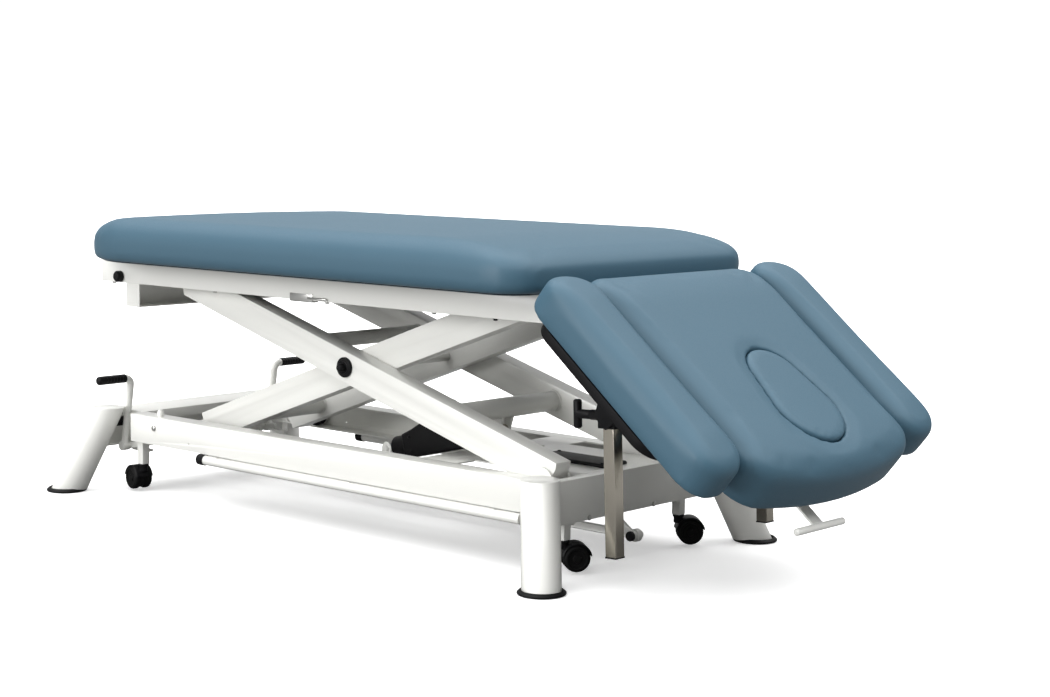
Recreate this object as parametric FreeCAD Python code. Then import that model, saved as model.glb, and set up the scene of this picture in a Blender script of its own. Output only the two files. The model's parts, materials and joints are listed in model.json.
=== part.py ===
"""Electric osteopathy table: scissor lift base, body cushion, tilting head section,
two sliding arm supports, retractable castors. Millimetres, +X to the head end, +Z up."""
import FreeCAD
import Part
import math
import os

# Base frame
BEAM_OUTER_Y = 226.0
BEAM_WIDTH = 40.0
BEAM_BOTTOM = 112.0
BEAM_HEIGHT = 60.0
BEAM_FOOT_X = -575.0
SHEET_WALL = 3.0
HEAD_BEAM_OUTER_X = 626.0
HEAD_BEAM_DEPTH = 22.0
HEAD_BEAM_DROP = 19.0
BEAM_HOLE_X = -377.0
BEAM_HOLE_Z = 127.0
BEAM_HOLE_RADIUS = 2.0
BEAM_BOLT_X = -493.0
BEAM_BOLT_Z = 148.0
BEAM_PLUG_X = -498.0
BEAM_PLUG_Y = 205.0
BEAM_PLUG_RADIUS = 7.0
FOOT_WEB_BOTTOM = 90.0
NOTCH_FOOT_X = -645.0
NOTCH_Y = 193.0
FOOT_CHANNEL_REACH = 240.0
FOOT_CHANNEL_WIDTH = 108.0
FOOT_CHANNEL_LIP = 20.0
MEMBER_X = -10.0
MEMBER_WIDTH = 40.0
MEMBER_HEIGHT = 16.0
TRAY_FOOT_X = 270.0
TRAY_STEP_X = 360.0
TRAY_NARROW_Y = 134.0
TRAY_SLOT_Y = 45.0
TRAY_SLOT_END_X = 350.0
TRAY_BRACKET_X = 400.0
TRAY_BRACKET_WIDTH = 28.0
TRAY_BRACKET_HEIGHT = 17.0
CONTROL_BOX_X = 505.0
CONTROL_BOX_LENGTH = 170.0
CONTROL_BOX_WIDTH = 70.0
CONTROL_BOX_RISE = 7.0
CONTROL_BOX_DEPTH = 41.0

# Splayed legs
LEG_TOP_X = 625.0
LEG_TOP_Y = 250.0
LEG_TOP_Z = 183.0
LEG_SPLAY_X = 60.0
LEG_SPLAY_Y = 61.0
LEG_RADIUS = 35.0
LEG_WALL = 3.0
RING_WIDTH = 8.0
RING_HEIGHT = 9.0
RING_FLOOR = 4.0

# Scissor arms
PIVOT_X = 575.0
PIVOT_Z = 165.0
ARM_LOWER = 542.0
ARM_UPPER = 501.2
ARM_ANGLE = 17.1
ARM_TUBE_ANGLE = 15.8
ARM_HEIGHT = 60.0
ARM_WIDTH = 40.0
ARM_WALL = 2.5
OUTER_ARM_Y = 184.0
ARM_GAP = 4.0
ARM_END_MARGIN = 22.0
AXLE_RADIUS = 10.0
PIN_RADIUS = 8.0
RUNNING_CLEARANCE = 0.05
BASE_ROLLER_RADIUS = 26.0
ROLLER_WIDTH = 20.0
ROLLER_GAP = 0.5
INNER_END_LUG = 25.0
LUG_THICKNESS = 10.0
CAP_RADIUS = 20.0
CAP_THICKNESS = 6.0
BRACE_RADIUS = 20.0
BRACE_AT = 263.0
UPPER_BRACE_RADIUS = 15.0
UPPER_BRACE_AT = 135.0
LOWER_TUBE_AT = 130.0
EAR_THICKNESS = 5.0
EAR_GAP = 1.0
EAR_RADIUS = 26.0

# Actuator
MOTOR_PIVOT_X = 0.0
MOTOR_PIVOT_Z = 138.0
ROD_EYE_X = 302.0
ROD_EYE_Z = 207.0
MOTOR_WIDTH = 60.0
MOTOR_EYE_RADIUS = 9.5
MOTOR_NECK = 16.0
MOTOR_START = 60.0
MOTOR_TOP_START = 176.0
MOTOR_TOP_END = 238.0
MOTOR_END = 262.0
MOTOR_RISE = 60.0
MOTOR_SHOULDER = 32.0
MOTOR_SHOULDER_AT = 92.0
MOTOR_BELLY = 26.0
MOTOR_KNOB_RADIUS = 11.0
BARREL_RADIUS = 22.0
BORE_RADIUS = 17.0
ROD_RADIUS = 8.0
BARREL_END = 282.0
ROD_LENGTH = 105.0
EYE_RADIUS = 12.0
EYE_WIDTH = 20.0
CLEVIS_THICKNESS = 5.0

# Bed frame
RAIL_OUTER_Y = 228.0
RAIL_WIDTH = 38.0
RAIL_HEIGHT = 54.0
RAIL_FOOT_X = -670.0
RAIL_HEAD_X = 618.0
RAIL_ABOVE_PIVOT = 14.0
HANGER_X = -586.0
HANGER_WIDTH = 46.0
HANGER_HEIGHT = 50.0
END_TUBE_AHEAD = 61.2
END_TUBE_DEPTH = 26.0
END_TUBE_HEIGHT = 40.0
STUD_X = -602.0
STUD_RADIUS = 12.0
STUD_DROP = 41.0
BOARD_THICKNESS = 8.6
BOARD_INSET = 26.0

# Cushions
BED_FOOT_X = -676.0
BED_HEAD_X = 650.0
BED_HALF_WIDTH = 350.0
BED_CORNER = 78.0
BED_FOOT_CORNER = 212.0
CUSHION_THICKNESS = 84.0
CUSHION_TOP_ROUND = 46.0
CUSHION_BOTTOM_ROUND = 14.0
SOFT_GAP = 0.3

# Head section, drawn level and then tilted about the hinge
HEAD_TILT = 39.2
HINGE_X = 637.0
HINGE_RADIUS = 6.0
HINGE_BARREL = 11.0
HEAD_START = 18.0
HEAD_LENGTH = 515.0
HEAD_END_BOW = 31.0
HEAD_CORNER = 52.0
HEAD_BOARD = 17.5
HEAD_BOARD_RISE = 8.0
HEAD_BOARD_INSET = 24.0
PLUG_START = 251.0
PLUG_END = 472.0
PLUG_FOOT_RADIUS = 66.0
PLUG_HEAD_RADIUS = 86.0
FACE_HOLE_INSET = 20.0
PLUG_RISE = 3.0
FRAME_BAR_Y = 120.0
FRAME_BAR_WIDTH = 25.0
FRAME_BAR_HEIGHT = 20.0
FRAME_BAR_END = 475.0

# Head release lever
LEVER_DROP = 40.0
LEVER_STRIP_WIDTH = 30.0
LEVER_STRIP_THICKNESS = 4.0
LEVER_PIVOT_AT = 465.0
LEVER_INNER_LENGTH = 25.0
LEVER_BAR_AT = 546.0
LEVER_BAR_LENGTH = 145.0
LEVER_BAR_RADIUS = 6.5

# Gas spring of the head section
GAS_PIVOT_X = 470.0
GAS_PIVOT_DROP = 63.0
GAS_EYE_AT = 148.0
GAS_EYE_DROP = 25.0
GAS_RADIUS = 11.0
GAS_BORE = 7.0
GAS_BORE_START = 60.0
GAS_ROD_RADIUS = 4.0
GAS_CYLINDER_LENGTH = 190.0
GAS_ROD_LENGTH = 150.0

# Arm supports
ARM_PAD_WIDTH = 108.0
ARM_PAD_GAP = 4.0
ARM_PAD_START = 16.0
ARM_PAD_LENGTH = 470.0
ARM_PAD_CORNER = 50.0
ARM_PAD_ROUND = 30.0
ARM_BOARD_INSET = 4.0
ARM_BOARD_START = 55.0
ARM_BOARD_END = 380.0
POST_INSET = 16.0
POST_SIZE = 24.0
POST_TOP_X = 759.0
POST_TOP_Z = 386.0
POST_LEAN = 2.5
POST_LENGTH = 322.0
POST_WALL = 2.0
SLEEVE_AT = 80.0
SLEEVE_LENGTH = 40.0
SLEEVE_WALL = 5.5
SLEEVE_CLEARANCE = 0.4
KNOB_BAR_LENGTH = 50.0
KNOB_BAR_RADIUS = 7.5
KNOB_STEM_RADIUS = 9.0
KNOB_STEM_LENGTH = 30.0
KNOB_NUT_LENGTH = 28.0
KNOB_SCREW_RADIUS = 5.0

# Castor lift
LIFT_SHAFT_Z = 94.0
LIFT_SHAFT_RADIUS = 8.0
FOOT_BEARING_Y = -172.0
HEAD_BEARING_Y = -201.0
FOOT_SHAFT_X = -625.0
HEAD_SHAFT_X = 578.0
CASTOR_POST_SIZE = 18.0
FOOT_POST_X = -557.0
FOOT_POST_Y = 206.0
HEAD_POST_X = 610.0
HEAD_POST_Y = 168.0
CASTOR_POST_BOTTOM = 62.0
CASTOR_POST_TOP = 150.0
CASTOR_SOCKET = 30.0
GUIDE_WALL = 3.0
FINGER_RADIUS = 6.0
FINGER_LENGTH = 36.0
FINGER_WIDTH = 6.0
SHELF_MARGIN = 6.0
SHELF_THICKNESS = 5.0
LIFT_TURN = 16.0
HAND_LEVER_Y = 205.0
HAND_LEVER_RADIUS = 8.0
HAND_LEVER_TOP_X = -600.0
HAND_LEVER_TOP_Z = 245.0
HAND_LEVER_BEND = 16.0
GRIP_RADIUS = 9.5
GRIP_LENGTH = 72.0
GRIP_WALL = 4.0
STOP_HEIGHT = 148.0
STOP_SIZE = 20.0
STOP_DEPTH = 12.0
CRANK_X = 63.0
CRANK_Z = 44.0
LINK_RADIUS = 8.0

# Castors
WHEEL_RADIUS = 25.0
WHEEL_WIDTH = 16.0
WHEEL_GAP = 10.0
WHEEL_CENTRE_Z = 30.0
WHEEL_OFFSET = 22.0
CASTOR_HEADINGS = {"head_near": 52.0, "head_far": 46.0, "foot_near": 172.0, "foot_far": 200.0}

# Foot control bars
FOOT_BAR_Z = 100.0
FOOT_BAR_RADIUS = 10.0
FOOT_BAR_WALL = 2.0
FOOT_BAR_START_X = -339.0
FOOT_BAR_END_X = 560.0
FOOT_BAR_CROSS_X = 535.0
FOOT_BAR_TRAVEL = 8.0
HANGER_PIN_RADIUS = 4.0
HANGER_HEAD_RADIUS = 5.2
HANGER_HEAD = 3.0
HANGER_PIN_XS = (-280.0, 120.0, 500.0)


def vec(x, y, z):
    return FreeCAD.Vector(x, y, z)


ORIGIN = vec(0, 0, 0)
X_AXIS = vec(1, 0, 0)
Y_AXIS = vec(0, 1, 0)
Z_AXIS = vec(0, 0, 1)


def block(x0, x1, y0, y1, z0, z1):
    return Part.makeBox(x1 - x0, y1 - y0, z1 - z0, vec(x0, y0, z0))


def rod(start, end, radius):
    axis = end - start
    return Part.makeCylinder(radius, axis.Length, start, axis)


def rod_y(x, z, y0, y1, radius):
    return Part.makeCylinder(radius, y1 - y0, vec(x, y0, z), Y_AXIS)


def prism_xz(points, y0, y1):
    corners = [vec(x, y0, z) for x, z in points]
    outline = Part.makePolygon(corners + corners[:1])
    return Part.Face(outline).extrude(vec(0, y1 - y0, 0))


def fused(first, *others):
    return first.fuse(list(others)).removeSplitter()


def mirrored(shape):
    return shape.mirror(ORIGIN, Y_AXIS)


def pair(shape):
    return [shape, mirrored(shape)]


def along(start, angle, distance):
    """Point at a distance from start in XZ, the angle measured up from +X."""
    turn = math.radians(angle)
    return (start[0] + distance * math.cos(turn), start[1] + distance * math.sin(turn))


def edges_at_z(shape, z):
    return [e for e in shape.Edges if all(abs(v.Z - z) < 0.01 for v in e.Vertexes)
            and abs(e.CenterOfMass.z - z) < 0.01]


# Scissor geometry worked out from the driving dimensions
BEAM_TOP = BEAM_BOTTOM + BEAM_HEIGHT
BEAM_INNER_Y = BEAM_OUTER_Y - BEAM_WIDTH
HEAD_BEAM_INNER_X = HEAD_BEAM_OUTER_X - HEAD_BEAM_DEPTH
ARM_PIVOT = (PIVOT_X, PIVOT_Z)
CENTRE = along(ARM_PIVOT, 180.0 - ARM_ANGLE, ARM_LOWER)
TOP_ROLLER = along(CENTRE, 180.0 - ARM_ANGLE, ARM_UPPER)
BASE_ROLLER_Z = BEAM_BOTTOM + SHEET_WALL + BASE_ROLLER_RADIUS + ROLLER_GAP
INNER_ANGLE = math.degrees(math.asin((CENTRE[1] - BASE_ROLLER_Z) / ARM_LOWER))
BASE_ROLLER = along(CENTRE, 180.0 + INNER_ANGLE, ARM_LOWER)
BED_PIVOT = along(CENTRE, INNER_ANGLE, ARM_UPPER)
INNER_ARM_Y = OUTER_ARM_Y - ARM_WIDTH - ARM_GAP
RAIL_TOP = BED_PIVOT[1] + RAIL_ABOVE_PIVOT
RAIL_BOTTOM = RAIL_TOP - RAIL_HEIGHT
RAIL_INNER_Y = RAIL_OUTER_Y - RAIL_WIDTH
TOP_ROLLER_RADIUS = TOP_ROLLER[1] - RAIL_BOTTOM - SHEET_WALL - ROLLER_GAP
BED_BOARD_TOP = RAIL_TOP + BOARD_THICKNESS
BED_CUSHION_TOP = BED_BOARD_TOP + CUSHION_THICKNESS
END_TUBE_X = BED_PIVOT[0] + END_TUBE_AHEAD
HINGE = (HINGE_X, BED_PIVOT[1])
MOTOR_PIVOT = (MOTOR_PIVOT_X, MOTOR_PIVOT_Z)
MOTOR_ANGLE = math.degrees(math.atan2(ROD_EYE_Z - MOTOR_PIVOT_Z, ROD_EYE_X - MOTOR_PIVOT_X))
GAS_PIVOT = (GAS_PIVOT_X, HINGE[1] - GAS_PIVOT_DROP)
HEAD_BOTTOM = HINGE[1] + HEAD_BOARD_RISE
ARM_PAD_INNER_Y = BED_HALF_WIDTH - ARM_PAD_WIDTH
HEAD_HALF_WIDTH = ARM_PAD_INNER_Y - ARM_PAD_GAP
POST_Y = HEAD_HALF_WIDTH - POST_INSET
HEAD_BOARD_TOP = HEAD_BOTTOM + HEAD_BOARD


def tilted(shape):
    """Turn a shape drawn level with the bed down to the tilt of the head section."""
    turned = shape.copy()
    turned.rotate(vec(HINGE[0], 0, HINGE[1]), Y_AXIS, HEAD_TILT)
    return turned


def tilted_point(x, z):
    turn = math.radians(HEAD_TILT)
    dx = x - HINGE[0]
    dz = z - HINGE[1]
    return (HINGE[0] + dx * math.cos(turn) + dz * math.sin(turn),
            HINGE[1] - dx * math.sin(turn) + dz * math.cos(turn))


# Base

def leg_axis():
    """Foot and top points of the head end near leg's centre line."""
    foot = vec(LEG_TOP_X + LEG_SPLAY_X, -LEG_TOP_Y - LEG_SPLAY_Y, 0)
    top = vec(LEG_TOP_X, -LEG_TOP_Y, LEG_TOP_Z)
    return foot, top


def leg_rod(radius, z0, z1):
    foot, top = leg_axis()
    run = top - foot
    long_rod = rod(foot - run * 0.5, top + run * 0.5, radius)
    reach = LEG_TOP_X * 2
    return long_rod.common(block(0, reach, -reach, 0, z0, z1))


def four_legs(shape):
    ends = [shape, shape.mirror(ORIGIN, X_AXIS)]
    return ends + [mirrored(end) for end in ends]


def leg_tubes():
    outer = leg_rod(LEG_RADIUS, RING_FLOOR, LEG_TOP_Z)
    inner = leg_rod(LEG_RADIUS - LEG_WALL, RING_FLOOR, LEG_TOP_Z - LEG_WALL)
    return four_legs(outer.cut(inner))


def foot_rings():
    ring = leg_rod(LEG_RADIUS + RING_WIDTH, 0, RING_HEIGHT)
    return four_legs(ring.cut(leg_rod(LEG_RADIUS, RING_FLOOR, RING_HEIGHT)))


def coped(shape):
    """Cut a frame member back to the outside of the legs that it is welded to."""
    return shape.cut(four_legs(leg_rod(LEG_RADIUS, BEAM_BOTTOM - 40, LEG_TOP_Z)))


def channel_beam(x0, x1, outer_y, width, z0, z1):
    """C section along X, its web on the near side at -outer_y and open inwards."""
    solid = block(x0, x1, -outer_y, -outer_y + width, z0, z1)
    hollow = block(x0, x1, -outer_y + SHEET_WALL, -outer_y + width, z0 + SHEET_WALL, z1 - SHEET_WALL)
    return solid.cut(hollow)


def pivot_ear(y0):
    """Upright plate beside the arm's lower pivot, rounded over the pin."""
    stem = block(PIVOT_X - EAR_RADIUS, PIVOT_X + EAR_RADIUS, y0, y0 + EAR_THICKNESS, BEAM_BOTTOM, PIVOT_Z)
    head = rod_y(PIVOT_X, PIVOT_Z, y0, y0 + EAR_THICKNESS, EAR_RADIUS)
    hole = rod_y(PIVOT_X, PIVOT_Z, y0, y0 + EAR_THICKNESS, PIN_RADIUS)
    return fused(stem, head).cut(hole)


def shaft_bearing(x, y, top):
    """Hanging plate that carries a castor lift shaft."""
    plate = block(x - 14, x + 14, y - 3, y + 3, LIFT_SHAFT_Z - 14, top)
    bore = rod_y(x, LIFT_SHAFT_Z, y - 3, y + 3, LIFT_SHAFT_RADIUS + RUNNING_CLEARANCE)
    return plate.cut(bore)


def side_beams():
    beam = channel_beam(BEAM_FOOT_X, HEAD_BEAM_INNER_X, BEAM_OUTER_Y, BEAM_WIDTH, BEAM_BOTTOM, BEAM_TOP)
    ear_y = -OUTER_ARM_Y - EAR_GAP - EAR_THICKNESS
    ear = pivot_ear(ear_y)
    bearing = shaft_bearing(HEAD_SHAFT_X, HEAD_BEARING_Y, BEAM_BOTTOM)
    guide = post_guide(FOOT_POST_X, -FOOT_POST_Y, BEAM_BOTTOM, CASTOR_POST_TOP)
    post_room = post_opening(FOOT_POST_X, -FOOT_POST_Y, BEAM_BOTTOM, CASTOR_POST_TOP)
    pin_hole = rod_y(PIVOT_X, PIVOT_Z, ear_y, ear_y + EAR_THICKNESS, PIN_RADIUS)
    bolt_hole = rod_y(BEAM_HOLE_X, BEAM_HOLE_Z, -BEAM_OUTER_Y, -BEAM_OUTER_Y + SHEET_WALL, BEAM_HOLE_RADIUS)
    beam = fused(beam, ear, bearing, guide).cut([pin_hole, bolt_hole, post_room])
    return pair(coped(beam))


def post_opening(x, y, z0, z1):
    """Room of a castor post in its guide."""
    half = CASTOR_POST_SIZE / 2 + RUNNING_CLEARANCE * 4
    return block(x - half, x + half, y - half, y + half, z0, z1)


def post_guide(x, y, z0, z1):
    """Square sleeve in which a castor post slides."""
    half = CASTOR_POST_SIZE / 2 + RUNNING_CLEARANCE * 4 + GUIDE_WALL
    return block(x - half, x + half, y - half, y + half, z0, z1)


def foot_cross_member():
    """Channel across the foot end, notched at both ends for the hand levers."""
    x1 = BEAM_FOOT_X
    x0 = x1 - FOOT_CHANNEL_WIDTH
    reach = FOOT_CHANNEL_REACH
    top = block(x0, x1, -reach, reach, BEAM_TOP - SHEET_WALL, BEAM_TOP)
    web = block(x0, x0 + SHEET_WALL, -reach, reach, FOOT_WEB_BOTTOM, BEAM_TOP)
    flange = block(x0, x0 + FOOT_CHANNEL_LIP, -reach, reach, FOOT_WEB_BOTTOM, FOOT_WEB_BOTTOM + SHEET_WALL)
    lip = block(x1 - SHEET_WALL, x1, -reach, reach, BEAM_TOP - FOOT_CHANNEL_LIP, BEAM_TOP)
    channel = fused(top, web, flange, lip)
    channel = channel.cut(pair(block(NOTCH_FOOT_X, x1, -reach, -NOTCH_Y, 0, BEAM_TOP)))
    cheek = block(NOTCH_FOOT_X, x1, -NOTCH_Y, -NOTCH_Y + SHEET_WALL, BEAM_BOTTOM, BEAM_TOP)
    bearing = shaft_bearing(FOOT_SHAFT_X, FOOT_BEARING_Y, BEAM_TOP)
    return coped(fused(channel, *pair(cheek), *pair(bearing)))


def motor_clevis():
    plates = []
    for side in (-1, 1):
        y = side * (EYE_WIDTH / 2 + EAR_GAP + CLEVIS_THICKNESS / 2)
        y0 = y - CLEVIS_THICKNESS / 2
        stem = block(MOTOR_PIVOT_X - 14, MOTOR_PIVOT_X + 14, y0, y0 + CLEVIS_THICKNESS,
                     BEAM_BOTTOM + MEMBER_HEIGHT, MOTOR_PIVOT_Z)
        head = rod_y(MOTOR_PIVOT_X, MOTOR_PIVOT_Z, y0, y0 + CLEVIS_THICKNESS, 14)
        plates.append(fused(stem, head))
    half = EYE_WIDTH / 2 + EAR_GAP + CLEVIS_THICKNESS
    pin = rod_y(MOTOR_PIVOT_X, MOTOR_PIVOT_Z, -half - 3, half + 3, 6.0)
    return fused(plates[0], plates[1], pin)


def middle_cross_member():
    half = MEMBER_WIDTH / 2
    bar = block(MEMBER_X - half, MEMBER_X + half, -BEAM_INNER_Y, BEAM_INNER_Y,
                BEAM_BOTTOM, BEAM_BOTTOM + MEMBER_HEIGHT)
    return fused(bar, motor_clevis())


def cross_members():
    return [foot_cross_member(), middle_cross_member()]


def head_cross_beam():
    """C section across the head end, open towards the foot, with the inner pivot ears."""
    x0 = HEAD_BEAM_INNER_X
    x1 = HEAD_BEAM_OUTER_X
    z0 = BEAM_BOTTOM - HEAD_BEAM_DROP
    solid = block(x0, x1, -BEAM_OUTER_Y, BEAM_OUTER_Y, z0, BEAM_TOP)
    hollow = block(x0, x1 - SHEET_WALL, -BEAM_OUTER_Y, BEAM_OUTER_Y, z0 + SHEET_WALL, BEAM_TOP - SHEET_WALL)
    beam = solid.cut(hollow)
    half = CASTOR_POST_SIZE / 2 + 0.5
    window_inner = HEAD_POST_Y - half - FINGER_WIDTH - 4
    for side in (-1, 1):
        y0, y1 = sorted((side * window_inner, side * (HEAD_POST_Y + half)))
        beam = beam.cut(block(x0, x1 - SHEET_WALL, y0, y1, z0, z0 + SHEET_WALL))
    parts = []
    for side in (-1, 1):
        centre = side * (OUTER_ARM_Y - ARM_WIDTH - EAR_GAP - EAR_THICKNESS / 2)
        ear = pivot_ear(centre - EAR_THICKNESS / 2)
        foot = block(PIVOT_X - EAR_RADIUS, x0, centre - EAR_THICKNESS / 2, centre + EAR_THICKNESS / 2,
                     BEAM_BOTTOM + 4, PIVOT_Z - 14)
        tab = block(x0, x1 - SHEET_WALL, centre - EAR_THICKNESS / 2, centre + EAR_THICKNESS / 2,
                    BEAM_BOTTOM + 4, PIVOT_Z - 14)
        parts += [ear, foot, tab]
    return [coped(fused(beam, *parts))]


def equipment_tray():
    z0 = BEAM_TOP - SHEET_WALL
    wide = block(TRAY_FOOT_X, TRAY_STEP_X, -BEAM_INNER_Y, BEAM_INNER_Y, z0, BEAM_TOP)
    narrow = block(TRAY_STEP_X, HEAD_BEAM_INNER_X, -TRAY_NARROW_Y, TRAY_NARROW_Y, z0, BEAM_TOP)
    slot = block(TRAY_FOOT_X, TRAY_SLOT_END_X, -TRAY_SLOT_Y, TRAY_SLOT_Y, z0, BEAM_TOP)
    half_x = CONTROL_BOX_LENGTH / 2 - 4 + 0.3
    half_y = CONTROL_BOX_WIDTH / 2 - 4 + 0.3
    hole = block(CONTROL_BOX_X - half_x, CONTROL_BOX_X + half_x, -half_y, half_y, z0, BEAM_TOP)
    plate = fused(wide, narrow).cut(slot).cut(hole)
    half_y = TRAY_BRACKET_WIDTH / 2
    bracket = block(TRAY_BRACKET_X, TRAY_BRACKET_X + SHEET_WALL, -half_y, half_y,
                    BEAM_TOP, BEAM_TOP + TRAY_BRACKET_HEIGHT)
    return [fused(plate, bracket)]


def control_box():
    half_x = CONTROL_BOX_LENGTH / 2
    half_y = CONTROL_BOX_WIDTH / 2
    lid = block(CONTROL_BOX_X - half_x, CONTROL_BOX_X + half_x, -half_y, half_y,
                BEAM_TOP, BEAM_TOP + CONTROL_BOX_RISE)
    lid = lid.makeChamfer(2.5, edges_at_z(lid, BEAM_TOP + CONTROL_BOX_RISE))
    body = block(CONTROL_BOX_X - half_x + 4, CONTROL_BOX_X + half_x - 4, -half_y + 4, half_y - 4,
                 BEAM_TOP - CONTROL_BOX_DEPTH, BEAM_TOP)
    return [fused(lid, body)]


def base_fasteners():
    """Pivot pins of the outer arms, outside bolt heads, domed plugs on the beams."""
    pin_out = -OUTER_ARM_Y - EAR_GAP - EAR_THICKNESS
    pin_in = -OUTER_ARM_Y + ARM_WIDTH + EAR_GAP + EAR_THICKNESS
    pin = rod_y(PIVOT_X, PIVOT_Z, pin_out, pin_in, PIN_RADIUS)
    pin_head = rod_y(PIVOT_X, PIVOT_Z, pin_in, pin_in + 3.5, PIN_RADIUS + 4)
    bolt = rod_y(BEAM_BOLT_X, BEAM_BOLT_Z, -BEAM_OUTER_Y - 4.5, -BEAM_OUTER_Y, 6.0)
    bolt = bolt.makeChamfer(1.5, [e for e in bolt.Edges if e.CenterOfMass.y < -BEAM_OUTER_Y - 4])
    foot = vec(BEAM_PLUG_X, -BEAM_PLUG_Y, BEAM_TOP)
    stem = Part.makeCylinder(BEAM_PLUG_RADIUS, BEAM_PLUG_RADIUS, foot, Z_AXIS)
    dome = Part.makeSphere(BEAM_PLUG_RADIUS, foot + Z_AXIS * BEAM_PLUG_RADIUS)
    return pair(fused(pin, pin_head)) + pair(bolt) + pair(fused(stem, dome))


def lever_stops():
    """Rubber buffers on the legs against which the upright hand levers rest."""
    half = STOP_SIZE / 2
    rise = (STOP_HEIGHT - half - LIFT_SHAFT_Z) / (HAND_LEVER_TOP_Z - LIFT_SHAFT_Z)
    x1 = FOOT_SHAFT_X + (HAND_LEVER_TOP_X - FOOT_SHAFT_X) * rise - HAND_LEVER_RADIUS - 1
    stop = block(x1 - STOP_DEPTH, x1, -LEG_TOP_Y, -HAND_LEVER_Y + 5, STOP_HEIGHT - half, STOP_HEIGHT + half)
    return pair(coped(stop))


# Scissor arms

def local_profile(points, angle):
    """Points given along and across an arm's centre line, placed at the centre pivot."""
    turn = math.radians(angle)
    return [(CENTRE[0] + a * math.cos(turn) - p * math.sin(turn),
             CENTRE[1] + a * math.sin(turn) + p * math.cos(turn)) for a, p in points]


def hollow_arm(outline, core, y0, y1):
    """Rectangular tube arm with closed ends: outer outline less the inner core."""
    outer = prism_xz(outline, y0, y1)
    inner = prism_xz(core, y0 + ARM_WALL, y1 - ARM_WALL)
    return outer.cut(inner)


def bush(point, y0, y1, radius):
    """Tube through an arm that carries a pin."""
    x, z = point
    return rod_y(x, z, y0, y1, radius + 4)


def outer_arm():
    y0 = -OUTER_ARM_Y
    y1 = y0 + ARM_WIDTH
    half = ARM_HEIGHT / 2
    core_half = half - ARM_WALL
    tail = ARM_UPPER + ARM_END_MARGIN
    turn = 180.0 - ARM_TUBE_ANGLE
    # Along is towards the foot end, so the head end has negative values, and across is downwards.
    top_end = ARM_LOWER - 8
    outline = local_profile([(tail, half - 24), (tail - 14, half), (-top_end + 26, half)], turn)
    outline += [(PIVOT_X + 12, PIVOT_Z - 18), (PIVOT_X + 21, PIVOT_Z - 6), (PIVOT_X + 21, PIVOT_Z + 14),
                (PIVOT_X + 28, PIVOT_Z + 25)]
    outline += local_profile([(-ARM_LOWER - 18, -half)], turn)
    outline += local_profile([(tail, -half)], turn)
    core = local_profile([(tail - ARM_WALL, core_half - 22), (tail - 16, core_half), (-480, core_half),
                          (-480, -core_half), (tail - ARM_WALL, -core_half)], turn)
    arm = hollow_arm(outline, core, y0, y1)
    points = ((CENTRE, AXLE_RADIUS), (TOP_ROLLER, PIN_RADIUS))
    arm = fused(arm, *[bush(point, y0, y1, radius) for point, radius in points])
    for point, radius in points:
        arm = arm.cut(rod_y(point[0], point[1], y0, y1, radius))
    return arm.cut(rod_y(PIVOT_X, PIVOT_Z, y0, y1, PIN_RADIUS + RUNNING_CLEARANCE))


def outer_arms():
    return pair(outer_arm())


def outer_braces():
    """Cross tubes between the outer arms, the lower one with the actuator's lug."""
    inner_y = OUTER_ARM_Y - ARM_WIDTH
    lower = along(CENTRE, -ARM_TUBE_ANGLE, BRACE_AT)
    upper = along(CENTRE, 180.0 - ARM_TUBE_ANGLE, UPPER_BRACE_AT)
    lower_tube = rod_y(lower[0], lower[1], -inner_y, inner_y, BRACE_RADIUS)
    upper_tube = rod_y(upper[0], upper[1], -inner_y, inner_y, UPPER_BRACE_RADIUS)
    plates = []
    for side in (-1, 1):
        centre = side * (EYE_WIDTH / 2 + EAR_GAP + CLEVIS_THICKNESS / 2)
        y0 = centre - CLEVIS_THICKNESS / 2
        y1 = centre + CLEVIS_THICKNESS / 2
        web = prism_xz([(lower[0] - 16, lower[1]), (lower[0] + 16, lower[1]),
                        (ROD_EYE_X + 11, ROD_EYE_Z), (ROD_EYE_X - 11, ROD_EYE_Z)], y0, y1)
        plates.append(fused(web, rod_y(ROD_EYE_X, ROD_EYE_Z, y0, y1, EYE_RADIUS - 1)))
    half = EYE_WIDTH / 2 + EAR_GAP + CLEVIS_THICKNESS
    pin = rod_y(ROD_EYE_X, ROD_EYE_Z, -half - 3, half + 3, 5.0)
    hollow = rod_y(lower[0], lower[1], -inner_y, inner_y, BRACE_RADIUS - ARM_WALL)
    lower_part = fused(lower_tube.cut(hollow), *[plate.cut(rod_y(lower[0], lower[1], -inner_y, inner_y,
                                                                BRACE_RADIUS - ARM_WALL))
                                                 for plate in plates], pin)
    upper_hollow = rod_y(upper[0], upper[1], -inner_y, inner_y, UPPER_BRACE_RADIUS - ARM_WALL)
    return [lower_part, upper_tube.cut(upper_hollow)]


def pivot_axle():
    return [rod_y(CENTRE[0], CENTRE[1], -OUTER_ARM_Y, OUTER_ARM_Y, AXLE_RADIUS)]


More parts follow.
